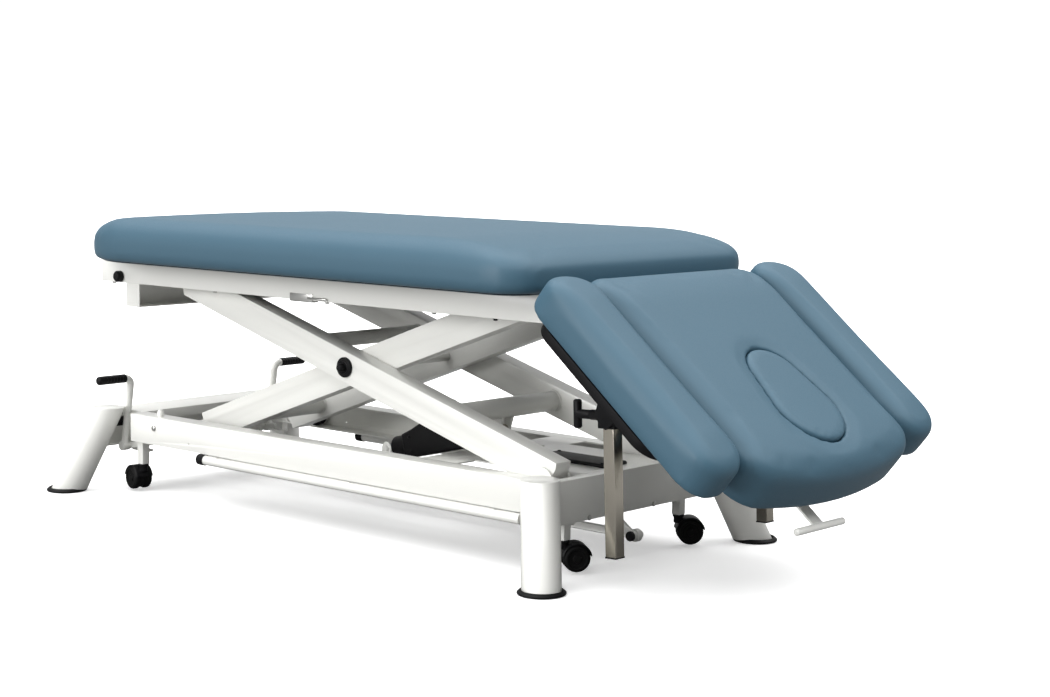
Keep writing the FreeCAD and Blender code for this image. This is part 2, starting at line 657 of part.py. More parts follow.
def pivot_caps():
    """Black discs with a bolt head outside the arms and washers between them."""
    disc = rod_y(CENTRE[0], CENTRE[1], -OUTER_ARM_Y - CAP_THICKNESS, -OUTER_ARM_Y, CAP_RADIUS)
    rim = [e for e in disc.Edges if e.CenterOfMass.y < -OUTER_ARM_Y - CAP_THICKNESS + 1]
    disc = disc.makeChamfer(1.5, rim)
    head = rod_y(CENTRE[0], CENTRE[1], -OUTER_ARM_Y - CAP_THICKNESS - 13, -OUTER_ARM_Y - CAP_THICKNESS, 8.5)
    tip = [e for e in head.Edges if e.CenterOfMass.y < -OUTER_ARM_Y - CAP_THICKNESS - 12]
    head = head.makeChamfer(3.0, tip)
    outer = -OUTER_ARM_Y + ARM_WIDTH
    washer = rod_y(CENTRE[0], CENTRE[1], outer, outer + ARM_GAP - RUNNING_CLEARANCE * 2, CAP_RADIUS + 2)
    washer = washer.cut(rod_y(CENTRE[0], CENTRE[1], outer, outer + ARM_GAP, AXLE_RADIUS))
    return pair(fused(disc, head)) + pair(washer)


def roller(point, radius, y_arm, y_wheel):
    """Roller at y_wheel with its axle reaching in to y_arm."""
    x, z = point
    wheel = rod_y(x, z, y_wheel, y_wheel + ROLLER_WIDTH, radius)
    wheel = wheel.makeChamfer(1.5, [e for e in wheel.Edges if e.Length > 2 * math.pi * radius - 1
                                   and e.Length < 2 * math.pi * radius + 1])
    axle = rod_y(x, z, y_wheel - 3, y_arm, PIN_RADIUS)
    return fused(wheel, axle)


def top_rollers():
    arm_inner = -OUTER_ARM_Y + ARM_WIDTH
    wheel_y = -RAIL_OUTER_Y + SHEET_WALL + 9
    return pair(roller(TOP_ROLLER, TOP_ROLLER_RADIUS, arm_inner, wheel_y))


def base_rollers():
    wheel_y = -BEAM_OUTER_Y + SHEET_WALL + 10
    return pair(roller(BASE_ROLLER, BASE_ROLLER_RADIUS, -INNER_ARM_Y + LUG_THICKNESS, wheel_y))


def inner_arm():
    y0 = -INNER_ARM_Y
    y1 = y0 + ARM_WIDTH
    half = ARM_HEIGHT / 2
    core_half = half - ARM_WALL
    low = -ARM_LOWER + INNER_END_LUG
    high = ARM_UPPER
    outline = local_profile([(low, -half), (high - 12, -half), (high + 14, -14), (high + 14, 6),
                             (high - 4, 10), (high - 88, half), (low, half)], INNER_ANGLE)
    core = local_profile([(low + ARM_WALL, -core_half), (high - 30, -core_half), (high - 30, 12),
                          (high - 94, core_half), (low + ARM_WALL, core_half)], INNER_ANGLE)
    arm = hollow_arm(outline, core, y0, y1)
    lug = prism_xz(local_profile([(low - INNER_END_LUG, -16), (low + 14, -16), (low + 14, 16),
                                  (low - INNER_END_LUG, 16)], INNER_ANGLE), y0, y0 + LUG_THICKNESS)
    lug = fused(lug, rod_y(BASE_ROLLER[0], BASE_ROLLER[1], y0, y0 + LUG_THICKNESS, 16))
    arm = fused(arm, lug, bush(CENTRE, y0, y1, AXLE_RADIUS))
    arm = arm.cut(rod_y(CENTRE[0], CENTRE[1], y0, y1, AXLE_RADIUS + RUNNING_CLEARANCE))
    arm = arm.cut(rod_y(BASE_ROLLER[0], BASE_ROLLER[1], y0, y1, PIN_RADIUS))
    return arm.cut(rod_y(BED_PIVOT[0], BED_PIVOT[1], y0, y1, PIN_RADIUS + RUNNING_CLEARANCE))


def inner_arms():
    """Both inner arms, each its own solid, and the cross tube welded between them."""
    inner_y = INNER_ARM_Y - ARM_WIDTH
    low = along(CENTRE, 180.0 + INNER_ANGLE, ARM_LOWER - LOWER_TUBE_AT)
    tube = rod_y(low[0], low[1], -inner_y, inner_y, BRACE_RADIUS)
    tube = tube.cut(rod_y(low[0], low[1], -inner_y, inner_y, BRACE_RADIUS - ARM_WALL))
    return pair(inner_arm()) + [tube]


# Actuator, drawn level along X from its pivot and then turned up

def raised(shape):
    turned = shape.copy()
    turned.rotate(vec(MOTOR_PIVOT[0], 0, MOTOR_PIVOT[1]), Y_AXIS, -MOTOR_ANGLE)
    return turned


def actuator_housing():
    px, pz = MOTOR_PIVOT
    half = MOTOR_WIDTH / 2
    profile = [(px + MOTOR_START, pz - MOTOR_BELLY), (px + MOTOR_END - 12, pz - MOTOR_BELLY + 2),
               (px + MOTOR_END, pz - MOTOR_BELLY + 12), (px + MOTOR_END, pz + 18),
               (px + MOTOR_TOP_END, pz + MOTOR_RISE - 4), (px + MOTOR_TOP_START, pz + MOTOR_RISE),
               (px + MOTOR_SHOULDER_AT, pz + MOTOR_SHOULDER), (px + MOTOR_START, pz + MOTOR_SHOULDER - 8)]
    body = prism_xz(profile, -half, half)
    body = body.makeFillet(7.0, [e for e in body.Edges if abs(e.CenterOfMass.y) > half - 0.1])
    barrel = Part.makeCylinder(BARREL_RADIUS, BARREL_END - 20, vec(px + 20, 0, pz), X_AXIS)
    bore = Part.makeCylinder(BORE_RADIUS, BARREL_END - 190, vec(px + 190, 0, pz), X_AXIS)
    eye = rod_y(px, pz, -EYE_WIDTH / 2, EYE_WIDTH / 2, MOTOR_EYE_RADIUS)
    neck = block(px + 6, px + 30, -EYE_WIDTH / 2, EYE_WIDTH / 2, pz - MOTOR_NECK / 2, pz + MOTOR_NECK / 2)
    knob_top = pz + MOTOR_RISE + 16
    knob_foot = vec(px + MOTOR_TOP_START + 10, 0, knob_top - 22)
    knob = Part.makeCylinder(MOTOR_KNOB_RADIUS, 22.0, knob_foot, Z_AXIS)
    knob = knob.makeChamfer(2.5, edges_at_z(knob, knob_top))
    shape = fused(body, barrel, eye, neck, knob).cut(bore)
    shape = shape.cut(rod_y(px, pz, -half, half, 6.0 + RUNNING_CLEARANCE))
    return [raised(shape)]


def actuator_rod():
    px, pz = MOTOR_PIVOT
    reach = math.hypot(ROD_EYE_X - px, ROD_EYE_Z - pz)
    shaft = Part.makeCylinder(ROD_RADIUS, ROD_LENGTH, vec(px + reach - ROD_LENGTH, 0, pz), X_AXIS)
    eye = rod_y(px + reach, pz, -EYE_WIDTH / 2, EYE_WIDTH / 2, EYE_RADIUS)
    shape = fused(shaft, eye).cut(rod_y(px + reach, pz, -EYE_WIDTH, EYE_WIDTH, 5.0 + RUNNING_CLEARANCE))
    return [raised(shape)]


# Bed

def bed_rails():
    rail = channel_beam(RAIL_FOOT_X, RAIL_HEAD_X, RAIL_OUTER_Y, RAIL_WIDTH, RAIL_BOTTOM, RAIL_TOP)
    return pair(rail)


def foot_end_hanger():
    """Cross channel with closed ends hung under the rails, open towards the head end."""
    z1 = RAIL_BOTTOM
    z0 = z1 - HANGER_HEIGHT
    half = RAIL_OUTER_Y - 2
    solid = block(HANGER_X, HANGER_X + HANGER_WIDTH, -half, half, z0, z1)
    hollow = block(HANGER_X + SHEET_WALL, HANGER_X + HANGER_WIDTH, -half, half,
                   z0 + SHEET_WALL, z1 - SHEET_WALL)
    ends = pair(block(HANGER_X, HANGER_X + HANGER_WIDTH, -half, -half + SHEET_WALL, z0, z1))
    return [fused(solid.cut(hollow), *ends)]


def bed_pivot_ear(centre):
    x, z = BED_PIVOT
    y0 = centre - EAR_THICKNESS / 2
    y1 = centre + EAR_THICKNESS / 2
    plate = block(x, END_TUBE_X, y0, y1, z - 13, z + 13)
    return fused(plate, rod_y(x, z, y0, y1, 13.0))


def head_end_tube():
    """Cross tube at the head end with the scissor pins, head hinge pins and gas spring plates."""
    x0 = END_TUBE_X
    x1 = x0 + END_TUBE_DEPTH
    z0 = RAIL_TOP - END_TUBE_HEIGHT
    tube = block(x0, x1, -RAIL_INNER_Y, RAIL_INNER_Y, z0, RAIL_TOP)
    hollow = block(x0 + SHEET_WALL, x1 - SHEET_WALL, -RAIL_INNER_Y, RAIL_INNER_Y, z0 + SHEET_WALL,
                   RAIL_TOP - SHEET_WALL)
    parts = [tube.cut(hollow)]
    ear_y = INNER_ARM_Y + EAR_GAP + EAR_THICKNESS / 2
    far_y = INNER_ARM_Y - ARM_WIDTH - EAR_GAP - EAR_THICKNESS / 2
    hinge_y = RAIL_INNER_Y - 12
    for side in (-1, 1):
        parts += [bed_pivot_ear(side * ear_y), bed_pivot_ear(side * far_y)]
        y0, y1 = sorted((side * (far_y - EAR_THICKNESS / 2), side * (ear_y + EAR_THICKNESS / 2)))
        parts.append(rod_y(BED_PIVOT[0], BED_PIVOT[1], y0, y1, PIN_RADIUS))
        y0, y1 = sorted((side * (hinge_y - EAR_THICKNESS), side * hinge_y))
        parts.append(block(x1, HINGE[0], y0, y1, HINGE[1] - HINGE_BARREL, HINGE[1] + HINGE_BARREL))
        parts.append(rod_y(HINGE[0], HINGE[1], y0, y1, HINGE_BARREL))
        y0, y1 = sorted((side * (FRAME_BAR_Y - FRAME_BAR_WIDTH / 2), side * hinge_y))
        parts.append(rod_y(HINGE[0], HINGE[1], y0, y1, HINGE_RADIUS))
    for side in (-1, 1):
        y0, y1 = sorted((side * 14.0, side * 19.0))
        parts.append(prism_xz([(x0, z0), (x0, RAIL_TOP), (x0 - 40, RAIL_TOP),
                               (GAS_PIVOT[0] - 12, GAS_PIVOT[1] + 12),
                               (GAS_PIVOT[0] - 12, GAS_PIVOT[1] - 10), (GAS_PIVOT[0] + 12, GAS_PIVOT[1] - 10),
                               (x0 - 50, z0)], y0, y1))
    parts.append(rod_y(GAS_PIVOT[0], GAS_PIVOT[1], -19.0, 19.0, 4.0))
    return [fused(*parts)]


def plan_face(x0, x1, half_width, z, bow=0.0):
    """Flat four-cornered face, its +X end bowed outwards by bow."""
    if bow == 0.0:
        face = Part.Face(Part.makePolygon([vec(x0, -half_width, z), vec(x1, -half_width, z),
                                           vec(x1, half_width, z), vec(x0, half_width, z),
                                           vec(x0, -half_width, z)]))
        return face
    side = x1 - bow
    points = [vec(side, -half_width, z), vec(x0, -half_width, z),
              vec(x0, half_width, z), vec(side, half_width, z)]
    edges = [Part.LineSegment(a, b).toShape() for a, b in zip(points, points[1:])]
    edges.append(Part.Arc(points[3], vec(x1, 0, z), points[0]).toShape())
    return Part.Face(Part.Wire(edges))


def upright_edges(shape, x, z0, z1):
    return [e for e in shape.Edges if abs(e.CenterOfMass.z - (z0 + z1) / 2) < 0.01
            and abs(e.CenterOfMass.x - x) < 0.01]


def padded_slab(x0, x1, half_width, corners, z0, z1, top_round, bottom_round, bow=0.0):
    """Cushion body with rounded corners, a crowned top edge and a small lower edge.

    The corners are the radii at the foot end and at the head end.
    """
    slab = plan_face(x0, x1, half_width, z0, bow).extrude(vec(0, 0, z1 - z0))
    slab = slab.makeFillet(corners[0], upright_edges(slab, x0, z0, z1))
    slab = slab.makeFillet(corners[1], upright_edges(slab, x1 - bow, z0, z1))
    if top_round:
        slab = slab.makeFillet(top_round, edges_at_z(slab, z1))
    if bottom_round:
        slab = slab.makeFillet(bottom_round, edges_at_z(slab, z0))
    return slab


def bed_board():
    inset = BOARD_INSET
    return [padded_slab(BED_FOOT_X + inset, BED_HEAD_X - inset, BED_HALF_WIDTH - inset,
                        (BED_FOOT_CORNER - inset, BED_CORNER - inset), RAIL_TOP, BED_BOARD_TOP, 0, 0)]


def bed_cushion():
    """Cushion that wraps down round the edge of its board."""
    slab = padded_slab(BED_FOOT_X, BED_HEAD_X, BED_HALF_WIDTH, (BED_FOOT_CORNER, BED_CORNER), RAIL_TOP,
                       BED_CUSHION_TOP, CUSHION_TOP_ROUND, CUSHION_BOTTOM_ROUND)
    return [slab.cut(bed_board())]


def roll_holder_studs():
    z = RAIL_TOP - STUD_DROP
    stud = rod_y(STUD_X, z, -RAIL_OUTER_Y - 14, -RAIL_OUTER_Y, STUD_RADIUS)
    tip = [e for e in stud.Edges if e.CenterOfMass.y < -RAIL_OUTER_Y - 13]
    return pair(stud.makeChamfer(4.0, tip))


# Head section

def tapered_oval(inset, z0, z1):
    """Upright block round the face opening, narrower towards the bed, its outline moved in by inset."""
    small = PLUG_FOOT_RADIUS - inset
    large = PLUG_HEAD_RADIUS - inset
    x0 = HINGE_X + PLUG_START + PLUG_FOOT_RADIUS
    x1 = HINGE_X + PLUG_END - PLUG_HEAD_RADIUS
    sine = (large - small) / (x1 - x0)
    cosine = math.sqrt(1 - sine ** 2)
    corners = [(x0 - small * sine, small * cosine), (x1 - large * sine, large * cosine),
               (x1 - large * sine, -large * cosine), (x0 - small * sine, -small * cosine)]
    points = [vec(x, y, z0) for x, y in corners]
    middle = Part.Face(Part.makePolygon(points + points[:1])).extrude(vec(0, 0, z1 - z0))
    ends = [Part.makeCylinder(radius, z1 - z0, vec(x, 0, z0), Z_AXIS)
            for x, radius in ((x0, small), (x1, large))]
    return fused(middle, *ends)


def head_panel():
    """Head board before it is tilted and before the face opening is cut."""
    x0 = HINGE_X + HEAD_START + HEAD_BOARD_INSET
    x1 = HINGE_X + HEAD_START + HEAD_LENGTH - HEAD_BOARD_INSET
    corner = HEAD_CORNER - HEAD_BOARD_INSET
    return padded_slab(x0, x1, HEAD_HALF_WIDTH - HEAD_BOARD_INSET, (corner, corner),
                       HEAD_BOTTOM, HEAD_BOARD_TOP, 0, 0, HEAD_END_BOW)


def head_board():
    hole = tapered_oval(FACE_HOLE_INSET, HEAD_BOTTOM, HEAD_BOARD_TOP)
    return [tilted(head_panel().cut(hole))]


def head_cushion():
    """Head cushion that wraps down round the edge of its board."""
    x0 = HINGE_X + HEAD_START
    slab = padded_slab(x0, x0 + HEAD_LENGTH, HEAD_HALF_WIDTH, (HEAD_CORNER, HEAD_CORNER), HEAD_BOTTOM,
                       BED_CUSHION_TOP, ARM_PAD_ROUND, CUSHION_BOTTOM_ROUND / 2, HEAD_END_BOW)
    hole = tapered_oval(0, HEAD_BOARD_TOP, BED_CUSHION_TOP)
    return [tilted(slab.cut([hole, head_panel()]))]


def face_plug():
    plug = tapered_oval(SOFT_GAP, HEAD_BOARD_TOP + SOFT_GAP, BED_CUSHION_TOP + PLUG_RISE)
    plug = plug.makeFillet(12.0, edges_at_z(plug, BED_CUSHION_TOP + PLUG_RISE))
    return [tilted(plug)]


def head_frame():
    """Two long bars, cross bars, hinge barrels, the gas spring lug and the lever bracket."""
    z1 = HEAD_BOTTOM
    z0 = z1 - FRAME_BAR_HEIGHT
    x0 = HINGE_X + HEAD_START
    x1 = HINGE_X + FRAME_BAR_END
    half = FRAME_BAR_WIDTH / 2
    parts = []
    for side in (-1, 1):
        y = side * FRAME_BAR_Y
        parts.append(block(x0, x1, y - half, y + half, z0, z1))
        parts.append(prism_xz([(HINGE_X, HINGE[1] - HINGE_BARREL), (x0 + 8, z0), (x0, z0), (x0, z1 - 1),
                               (HINGE_X, HINGE[1] + HINGE_BARREL)], y - half, y + half))
        parts.append(rod_y(HINGE_X, HINGE[1], y - half, y + half, HINGE_BARREL))
    cross_x = HINGE_X + GAS_EYE_AT
    reach = POST_Y - POST_SIZE / 2
    parts.append(block(cross_x - 15, cross_x + 15, -reach, reach, z0, z1))
    parts.append(block(x1 - 20, x1, -FRAME_BAR_Y, FRAME_BAR_Y, z0, z1))
    eye_z = HINGE[1] - GAS_EYE_DROP
    for side in (-1, 1):
        y0, y1 = sorted((side * 6.0, side * 10.0))
        parts.append(block(cross_x - 9, cross_x + 9, y0, y1, eye_z, z0))
        parts.append(rod_y(cross_x, eye_z, y0, y1, 9.0))
        y0, y1 = sorted((side * (LEVER_STRIP_WIDTH / 2 + 0.5), side * (LEVER_STRIP_WIDTH / 2 + 3.5)))
        parts.append(block(x1 - 20, x1, y0, y1, z1 - LEVER_DROP - 8, z0))
    parts.append(rod_y(cross_x, eye_z, -10.0, 10.0, 4.0))
    lever_x = HINGE_X + LEVER_PIVOT_AT
    lever_half = LEVER_STRIP_WIDTH / 2 + 3.5
    parts.append(rod_y(lever_x, z1 - LEVER_DROP, -lever_half, lever_half, 3.0))
    shape = fused(*parts)
    return [tilted(shape.cut(rod_y(HINGE_X, HINGE[1], -reach, reach, HINGE_RADIUS + RUNNING_CLEARANCE)))]


def release_lever():
    """Flat strip on a pin under the head board, with a round cross handle at its end."""
    z = HEAD_BOTTOM - LEVER_DROP
    half = LEVER_STRIP_WIDTH / 2
    pivot_x = HINGE_X + LEVER_PIVOT_AT
    bar_x = HINGE_X + LEVER_BAR_AT
    strip = block(pivot_x - LEVER_INNER_LENGTH, bar_x, -half, half,
                  z - LEVER_STRIP_THICKNESS / 2, z + LEVER_STRIP_THICKNESS / 2)
    barrel = rod_y(pivot_x, z, -half, half, 6.0)
    bar = rod_y(bar_x, z, -LEVER_BAR_LENGTH / 2, LEVER_BAR_LENGTH / 2, LEVER_BAR_RADIUS)
    tips = [e for e in bar.Edges if abs(e.CenterOfMass.y) > LEVER_BAR_LENGTH / 2 - 1]
    bar = bar.makeChamfer(LEVER_BAR_RADIUS * 0.4, tips)
    shape = fused(strip, barrel, bar).cut(rod_y(pivot_x, z, -half, half, 3.0 + RUNNING_CLEARANCE))
    return [tilted(shape)]


# Gas spring, drawn level along X from its pivot and then turned

GAS_EYE = tilted_point(HINGE_X + GAS_EYE_AT, HINGE[1] - GAS_EYE_DROP)
GAS_REACH = math.hypot(GAS_EYE[0] - GAS_PIVOT[0], GAS_EYE[1] - GAS_PIVOT[1])
GAS_ANGLE = math.degrees(math.atan2(GAS_EYE[1] - GAS_PIVOT[1], GAS_EYE[0] - GAS_PIVOT[0]))


def gas_turned(shape):
    turned = shape.copy()
    turned.rotate(vec(GAS_PIVOT[0], 0, GAS_PIVOT[1]), Y_AXIS, -GAS_ANGLE)
    return turned


def gas_cylinder():
    px, pz = GAS_PIVOT
    eye = rod_y(px, pz, -13.0, 13.0, 8.0)
    body = Part.makeCylinder(GAS_RADIUS, GAS_CYLINDER_LENGTH - 14, vec(px + 14, 0, pz), X_AXIS)
    tip = [e for e in body.Edges if abs(e.CenterOfMass.x - px - GAS_CYLINDER_LENGTH) < 1]
    body = body.makeChamfer(2.0, tip)
    neck = block(px + 4, px + 16, -6, 6, pz - 6, pz + 6)
    bore = Part.makeCylinder(GAS_BORE, GAS_CYLINDER_LENGTH, vec(px + GAS_BORE_START, 0, pz), X_AXIS)
    shape = fused(eye, neck, body).cut(bore).cut(rod_y(px, pz, -13.0, 13.0, 4.0 + RUNNING_CLEARANCE))
    return [gas_turned(shape)]


def gas_rod():
    px, pz = GAS_PIVOT
    end = px + GAS_REACH
    shaft = Part.makeCylinder(GAS_ROD_RADIUS, GAS_ROD_LENGTH, vec(end - GAS_ROD_LENGTH, 0, pz), X_AXIS)
    eye = rod_y(end, pz, -5.0, 5.0, 7.5)
    shape = fused(shaft, eye).cut(rod_y(end, pz, -5.0, 5.0, 4.0 + RUNNING_CLEARANCE))
    return [gas_turned(shape)]


# Arm supports, the near one drawn on an upright post and then leaned

def leaned(shape):
    turned = shape.copy()
    turned.rotate(vec(POST_TOP_X, 0, POST_TOP_Z), Y_AXIS, -POST_LEAN)
    return turned


def square_bar(half, z0, z1):
    return block(POST_TOP_X - half, POST_TOP_X + half, -POST_Y - half, -POST_Y + half, z0, z1)


def arm_posts():
    """Square tubes under the head section with a plugged foot, and their fixing bolts."""
    half = POST_SIZE / 2
    bottom = POST_TOP_Z - POST_LENGTH
    tube = square_bar(half, bottom, POST_TOP_Z)
    middle = (bottom + POST_TOP_Z) / 2
    tube = tube.makeFillet(2.0, [e for e in tube.Edges if abs(e.CenterOfMass.z - middle) < 1])
    tube = tube.cut(square_bar(half - POST_WALL, bottom + 3, POST_TOP_Z - 3))
    bolt = rod_y(POST_TOP_X - 2, POST_TOP_Z - 12, -POST_Y - half - 4, -POST_Y - half, 6.5)
    return pair(leaned(tube)) + pair(leaned(bolt))


def arm_shape(x0, x1, z0, z1, inset, top_round, bottom_round):
    """Arm support board or cushion, beside the head cushion on the near side."""
    half = (BED_HALF_WIDTH - ARM_PAD_INNER_Y) / 2 - inset
    corner = ARM_PAD_CORNER - inset
    slab = padded_slab(x0, x1, half, (corner, corner), z0, z1, top_round, bottom_round)
    slab.translate(vec(0, -(BED_HALF_WIDTH + ARM_PAD_INNER_Y) / 2, 0))
    return tilted(slab)


def arm_board():
    return arm_shape(HINGE_X + ARM_BOARD_START, HINGE_X + ARM_BOARD_END, HEAD_BOTTOM, HEAD_BOARD_TOP,
                     ARM_BOARD_INSET, 0, 0)


def arm_cushion():
    x0 = HINGE_X + ARM_PAD_START
    return arm_shape(x0, x0 + ARM_PAD_LENGTH, HEAD_BOARD_TOP, BED_CUSHION_TOP, 0,
                     ARM_PAD_ROUND, CUSHION_BOTTOM_ROUND / 2)


def arm_clamp():
    """Sleeve on the post with its threaded boss, and the bracket up to the arm board."""
    inner = POST_SIZE / 2 + SLEEVE_CLEARANCE
    outer = inner + SLEEVE_WALL
    z0 = POST_TOP_Z - SLEEVE_AT - SLEEVE_LENGTH / 2
    z1 = z0 + SLEEVE_LENGTH
    middle = (z0 + z1) / 2
    sleeve = square_bar(outer, z0, z1)
    boss_end = POST_TOP_X - outer - KNOB_NUT_LENGTH
    boss = rod(vec(POST_TOP_X - inner, -POST_Y, middle), vec(boss_end, -POST_Y, middle), KNOB_STEM_RADIUS)
    shape = leaned(fused(sleeve, boss).cut(square_bar(inner, z0, z1)))
    hole = leaned(rod(vec(POST_TOP_X, -POST_Y, middle), vec(boss_end, -POST_Y, middle),
                      KNOB_SCREW_RADIUS + RUNNING_CLEARANCE))
    y1 = -POST_Y - outer + 1.5
    y0 = -ARM_PAD_INNER_Y - ARM_BOARD_INSET
    x, z = flat_point(POST_TOP_X + math.sin(math.radians(POST_LEAN)) * SLEEVE_AT, middle)
    plate = tilted(prism_xz([(x - 16, z - 14), (x + 16, z - 14),
                             (x + 42, HEAD_BOTTOM), (x - 50, HEAD_BOTTOM)], y0, y1))
    flange = tilted(block(x - 50, x + 60, -BED_HALF_WIDTH + 30, y1, HEAD_BOTTOM - 4, HEAD_BOTTOM))
    post = leaned(square_bar(inner, z0 - 60, z1 + 60))
    return fused(shape, plate.cut(post), flange.cut(post)).cut(hole)


def flat_point(x, z):
    """Where a point of the tilted head section lies when that section is level."""
    turn = math.radians(HEAD_TILT)
    dx = x - HINGE[0]
    dz = z - HINGE[1]
    return (HINGE[0] + dx * math.cos(turn) - dz * math.sin(turn),
            HINGE[1] + dx * math.sin(turn) + dz * math.cos(turn))


def clamp_knob():
    """Cross handle, stem and screw that presses on the post."""
    middle = POST_TOP_Z - SLEEVE_AT
    inner = POST_SIZE / 2 + SLEEVE_CLEARANCE
    boss_end = POST_TOP_X - inner - SLEEVE_WALL - KNOB_NUT_LENGTH
    stem_end = boss_end - 1.5 - KNOB_STEM_LENGTH
    screw = rod(vec(POST_TOP_X - inner + 0.1, -POST_Y, middle), vec(boss_end - 2, -POST_Y, middle),
                KNOB_SCREW_RADIUS)
    stem = rod(vec(boss_end - 1.5, -POST_Y, middle), vec(stem_end, -POST_Y, middle), KNOB_STEM_RADIUS - 1)
    half = KNOB_BAR_LENGTH / 2
    bar = Part.makeCylinder(KNOB_BAR_RADIUS, 2 * half, vec(stem_end, -POST_Y, middle - half), Z_AXIS)
    bar = bar.makeChamfer(2.5, [e for e in bar.Edges if abs(e.CenterOfMass.z - middle) > half - 1])
    return leaned(fused(screw, stem, bar))


# Castor lift

def finger_tip(x):
    """Middle of the round tip of a finger on the lift shaft at x, half the turn above level."""
    return along((x, LIFT_SHAFT_Z), LIFT_TURN / 2, FINGER_LENGTH)


def finger(x, y0):
    """Arm on a lift shaft that presses a castor post down."""
    tip_x, tip_z = finger_tip(x)
    rise = FINGER_RADIUS * math.cos(math.radians(LIFT_TURN / 2))
    run = FINGER_RADIUS * math.sin(math.radians(LIFT_TURN / 2))
    web = prism_xz([(x + run, LIFT_SHAFT_Z - rise), (tip_x + run, tip_z - rise), (tip_x - run, tip_z + rise),
                    (x - run, LIFT_SHAFT_Z + rise)], y0, y0 + FINGER_WIDTH)
    return fused(web, rod_y(tip_x, tip_z, y0, y0 + FINGER_WIDTH, FINGER_RADIUS))


def crank(x):
    """Flat crank on a lift shaft with the pin that drives the link rod."""
    pin_x = x + CRANK_X
    pin_z = LIFT_SHAFT_Z - CRANK_Z
    length = math.hypot(CRANK_X, CRANK_Z)
    nx = CRANK_Z / length * 8
    nz = CRANK_X / length * 8
    web = prism_xz([(x + nx, LIFT_SHAFT_Z + nz), (pin_x + nx, pin_z + nz), (pin_x - nx, pin_z - nz),
                    (x - nx, LIFT_SHAFT_Z - nz)], -12.5, -6.5)
    boss = rod_y(x, LIFT_SHAFT_Z, -12.5, -6.5, LIFT_SHAFT_RADIUS + 4)
    tip = rod_y(pin_x, pin_z, -12.5, -6.5, 9.0)
    pin = rod_y(pin_x, pin_z, -12.5, 9.0, 5.0)
    return fused(web, boss, tip, pin)


def lift_shaft(x, post_y, reach):
    """Shaft with its crank and the two fingers that press on the castor posts."""
    shaft = rod_y(x, LIFT_SHAFT_Z, -reach, reach, LIFT_SHAFT_RADIUS)
    y0 = post_y - CASTOR_POST_SIZE / 2 - 2 - FINGER_WIDTH
    fingers = [finger(x, y0), finger(x, -y0 - FINGER_WIDTH)]
    return fused(shaft, crank(x), *fingers)


def hand_lever_path():
    """Corner points of the near lever: shaft end, start and end of the bend, inner end of the grip."""
    shaft = vec(FOOT_SHAFT_X, -HAND_LEVER_Y, LIFT_SHAFT_Z)
    corner = vec(HAND_LEVER_TOP_X, -HAND_LEVER_Y, HAND_LEVER_TOP_Z)
    up = (corner - shaft).normalize()
    out = vec(0, -1, 0)
    start = corner - up * HAND_LEVER_BEND
    end = corner + out * HAND_LEVER_BEND
    centre = start + out * HAND_LEVER_BEND
    middle = centre + (corner - centre).normalize() * HAND_LEVER_BEND
    return shaft, start, middle, end


def hand_lever():
    shaft, start, middle, end = hand_lever_path()
    tip = end + vec(0, GRIP_WALL - GRIP_LENGTH, 0)
    path = Part.Wire([Part.LineSegment(shaft, start).toShape(), Part.Arc(start, middle, end).toShape(),
                      Part.LineSegment(end, tip).toShape()])
    section = Part.Wire([Part.Circle(shaft, start - shaft, HAND_LEVER_RADIUS).toShape()])
    return path.makePipeShell([section], True, False)


def hand_levers():
    """Foot end lift shaft with the hand levers on both its ends."""
    shaft = lift_shaft(FOOT_SHAFT_X, FOOT_POST_Y, HAND_LEVER_Y)
    hub = rod_y(FOOT_SHAFT_X, LIFT_SHAFT_Z, -HAND_LEVER_Y - 9, -HAND_LEVER_Y + 9, LIFT_SHAFT_RADIUS + 2.5)
    lever = fused(hub, hand_lever())
    return [fused(shaft, *pair(lever))]


def lever_grips():
    end = hand_lever_path()[3]
    x, z = end.x, end.z
    y0 = end.y - GRIP_LENGTH
    grip = rod_y(x, z, y0, end.y, GRIP_RADIUS)
    grip = grip.makeChamfer(3.5, [e for e in grip.Edges if e.CenterOfMass.y < y0 + 1])
    return pair(grip.cut(rod_y(x, z, y0 + GRIP_WALL, end.y, HAND_LEVER_RADIUS)))


def castor_posts(x, y, shaft_x):
    """Square posts with the shelves that the fingers press and the sockets of the castor stems."""
    half = CASTOR_POST_SIZE / 2
    post = block(x - half, x + half, -y - half, -y + half, CASTOR_POST_BOTTOM, CASTOR_POST_TOP)
    tip_x, tip_z = finger_tip(shaft_x)
    top = tip_z - FINGER_RADIUS - SOFT_GAP
    x0 = tip_x - 1
    x1 = max(x + half, tip_x + SHELF_MARGIN)
    shelf = block(x0, x1, -y + half, -y + half + FINGER_WIDTH + 4, top - SHELF_THICKNESS, top)
    stem = Part.makeCylinder(5.5 + RUNNING_CLEARANCE, CASTOR_SOCKET, vec(x, -y, CASTOR_POST_BOTTOM), Z_AXIS)
    return pair(fused(post, shelf).cut(stem))


def link_rod():
    """Rod that ties the cranks of both lift shafts, parallel to the floor."""
    z = LIFT_SHAFT_Z - CRANK_Z
    x0 = FOOT_SHAFT_X + CRANK_X
    x1 = HEAD_SHAFT_X + CRANK_X
    bar = rod(vec(x0 + 8, 0, z), vec(x1 - 8, 0, z), LINK_RADIUS)
    eyes = [rod_y(x, z, -5.5, 5.5, 12.0) for x in (x0, x1)]
    bar = bar.common(block(x0, x1, -5.5, 5.5, z - 20, z + 20))
    shape = fused(bar, *eyes).cut(rod_y(x0, z, -6, 6, 5.0 + SOFT_GAP))
    return [shape.cut(rod_y(x1, z, -6, 6, 5.0 + RUNNING_CLEARANCE))]


# Castors, drawn heading along +X at the origin

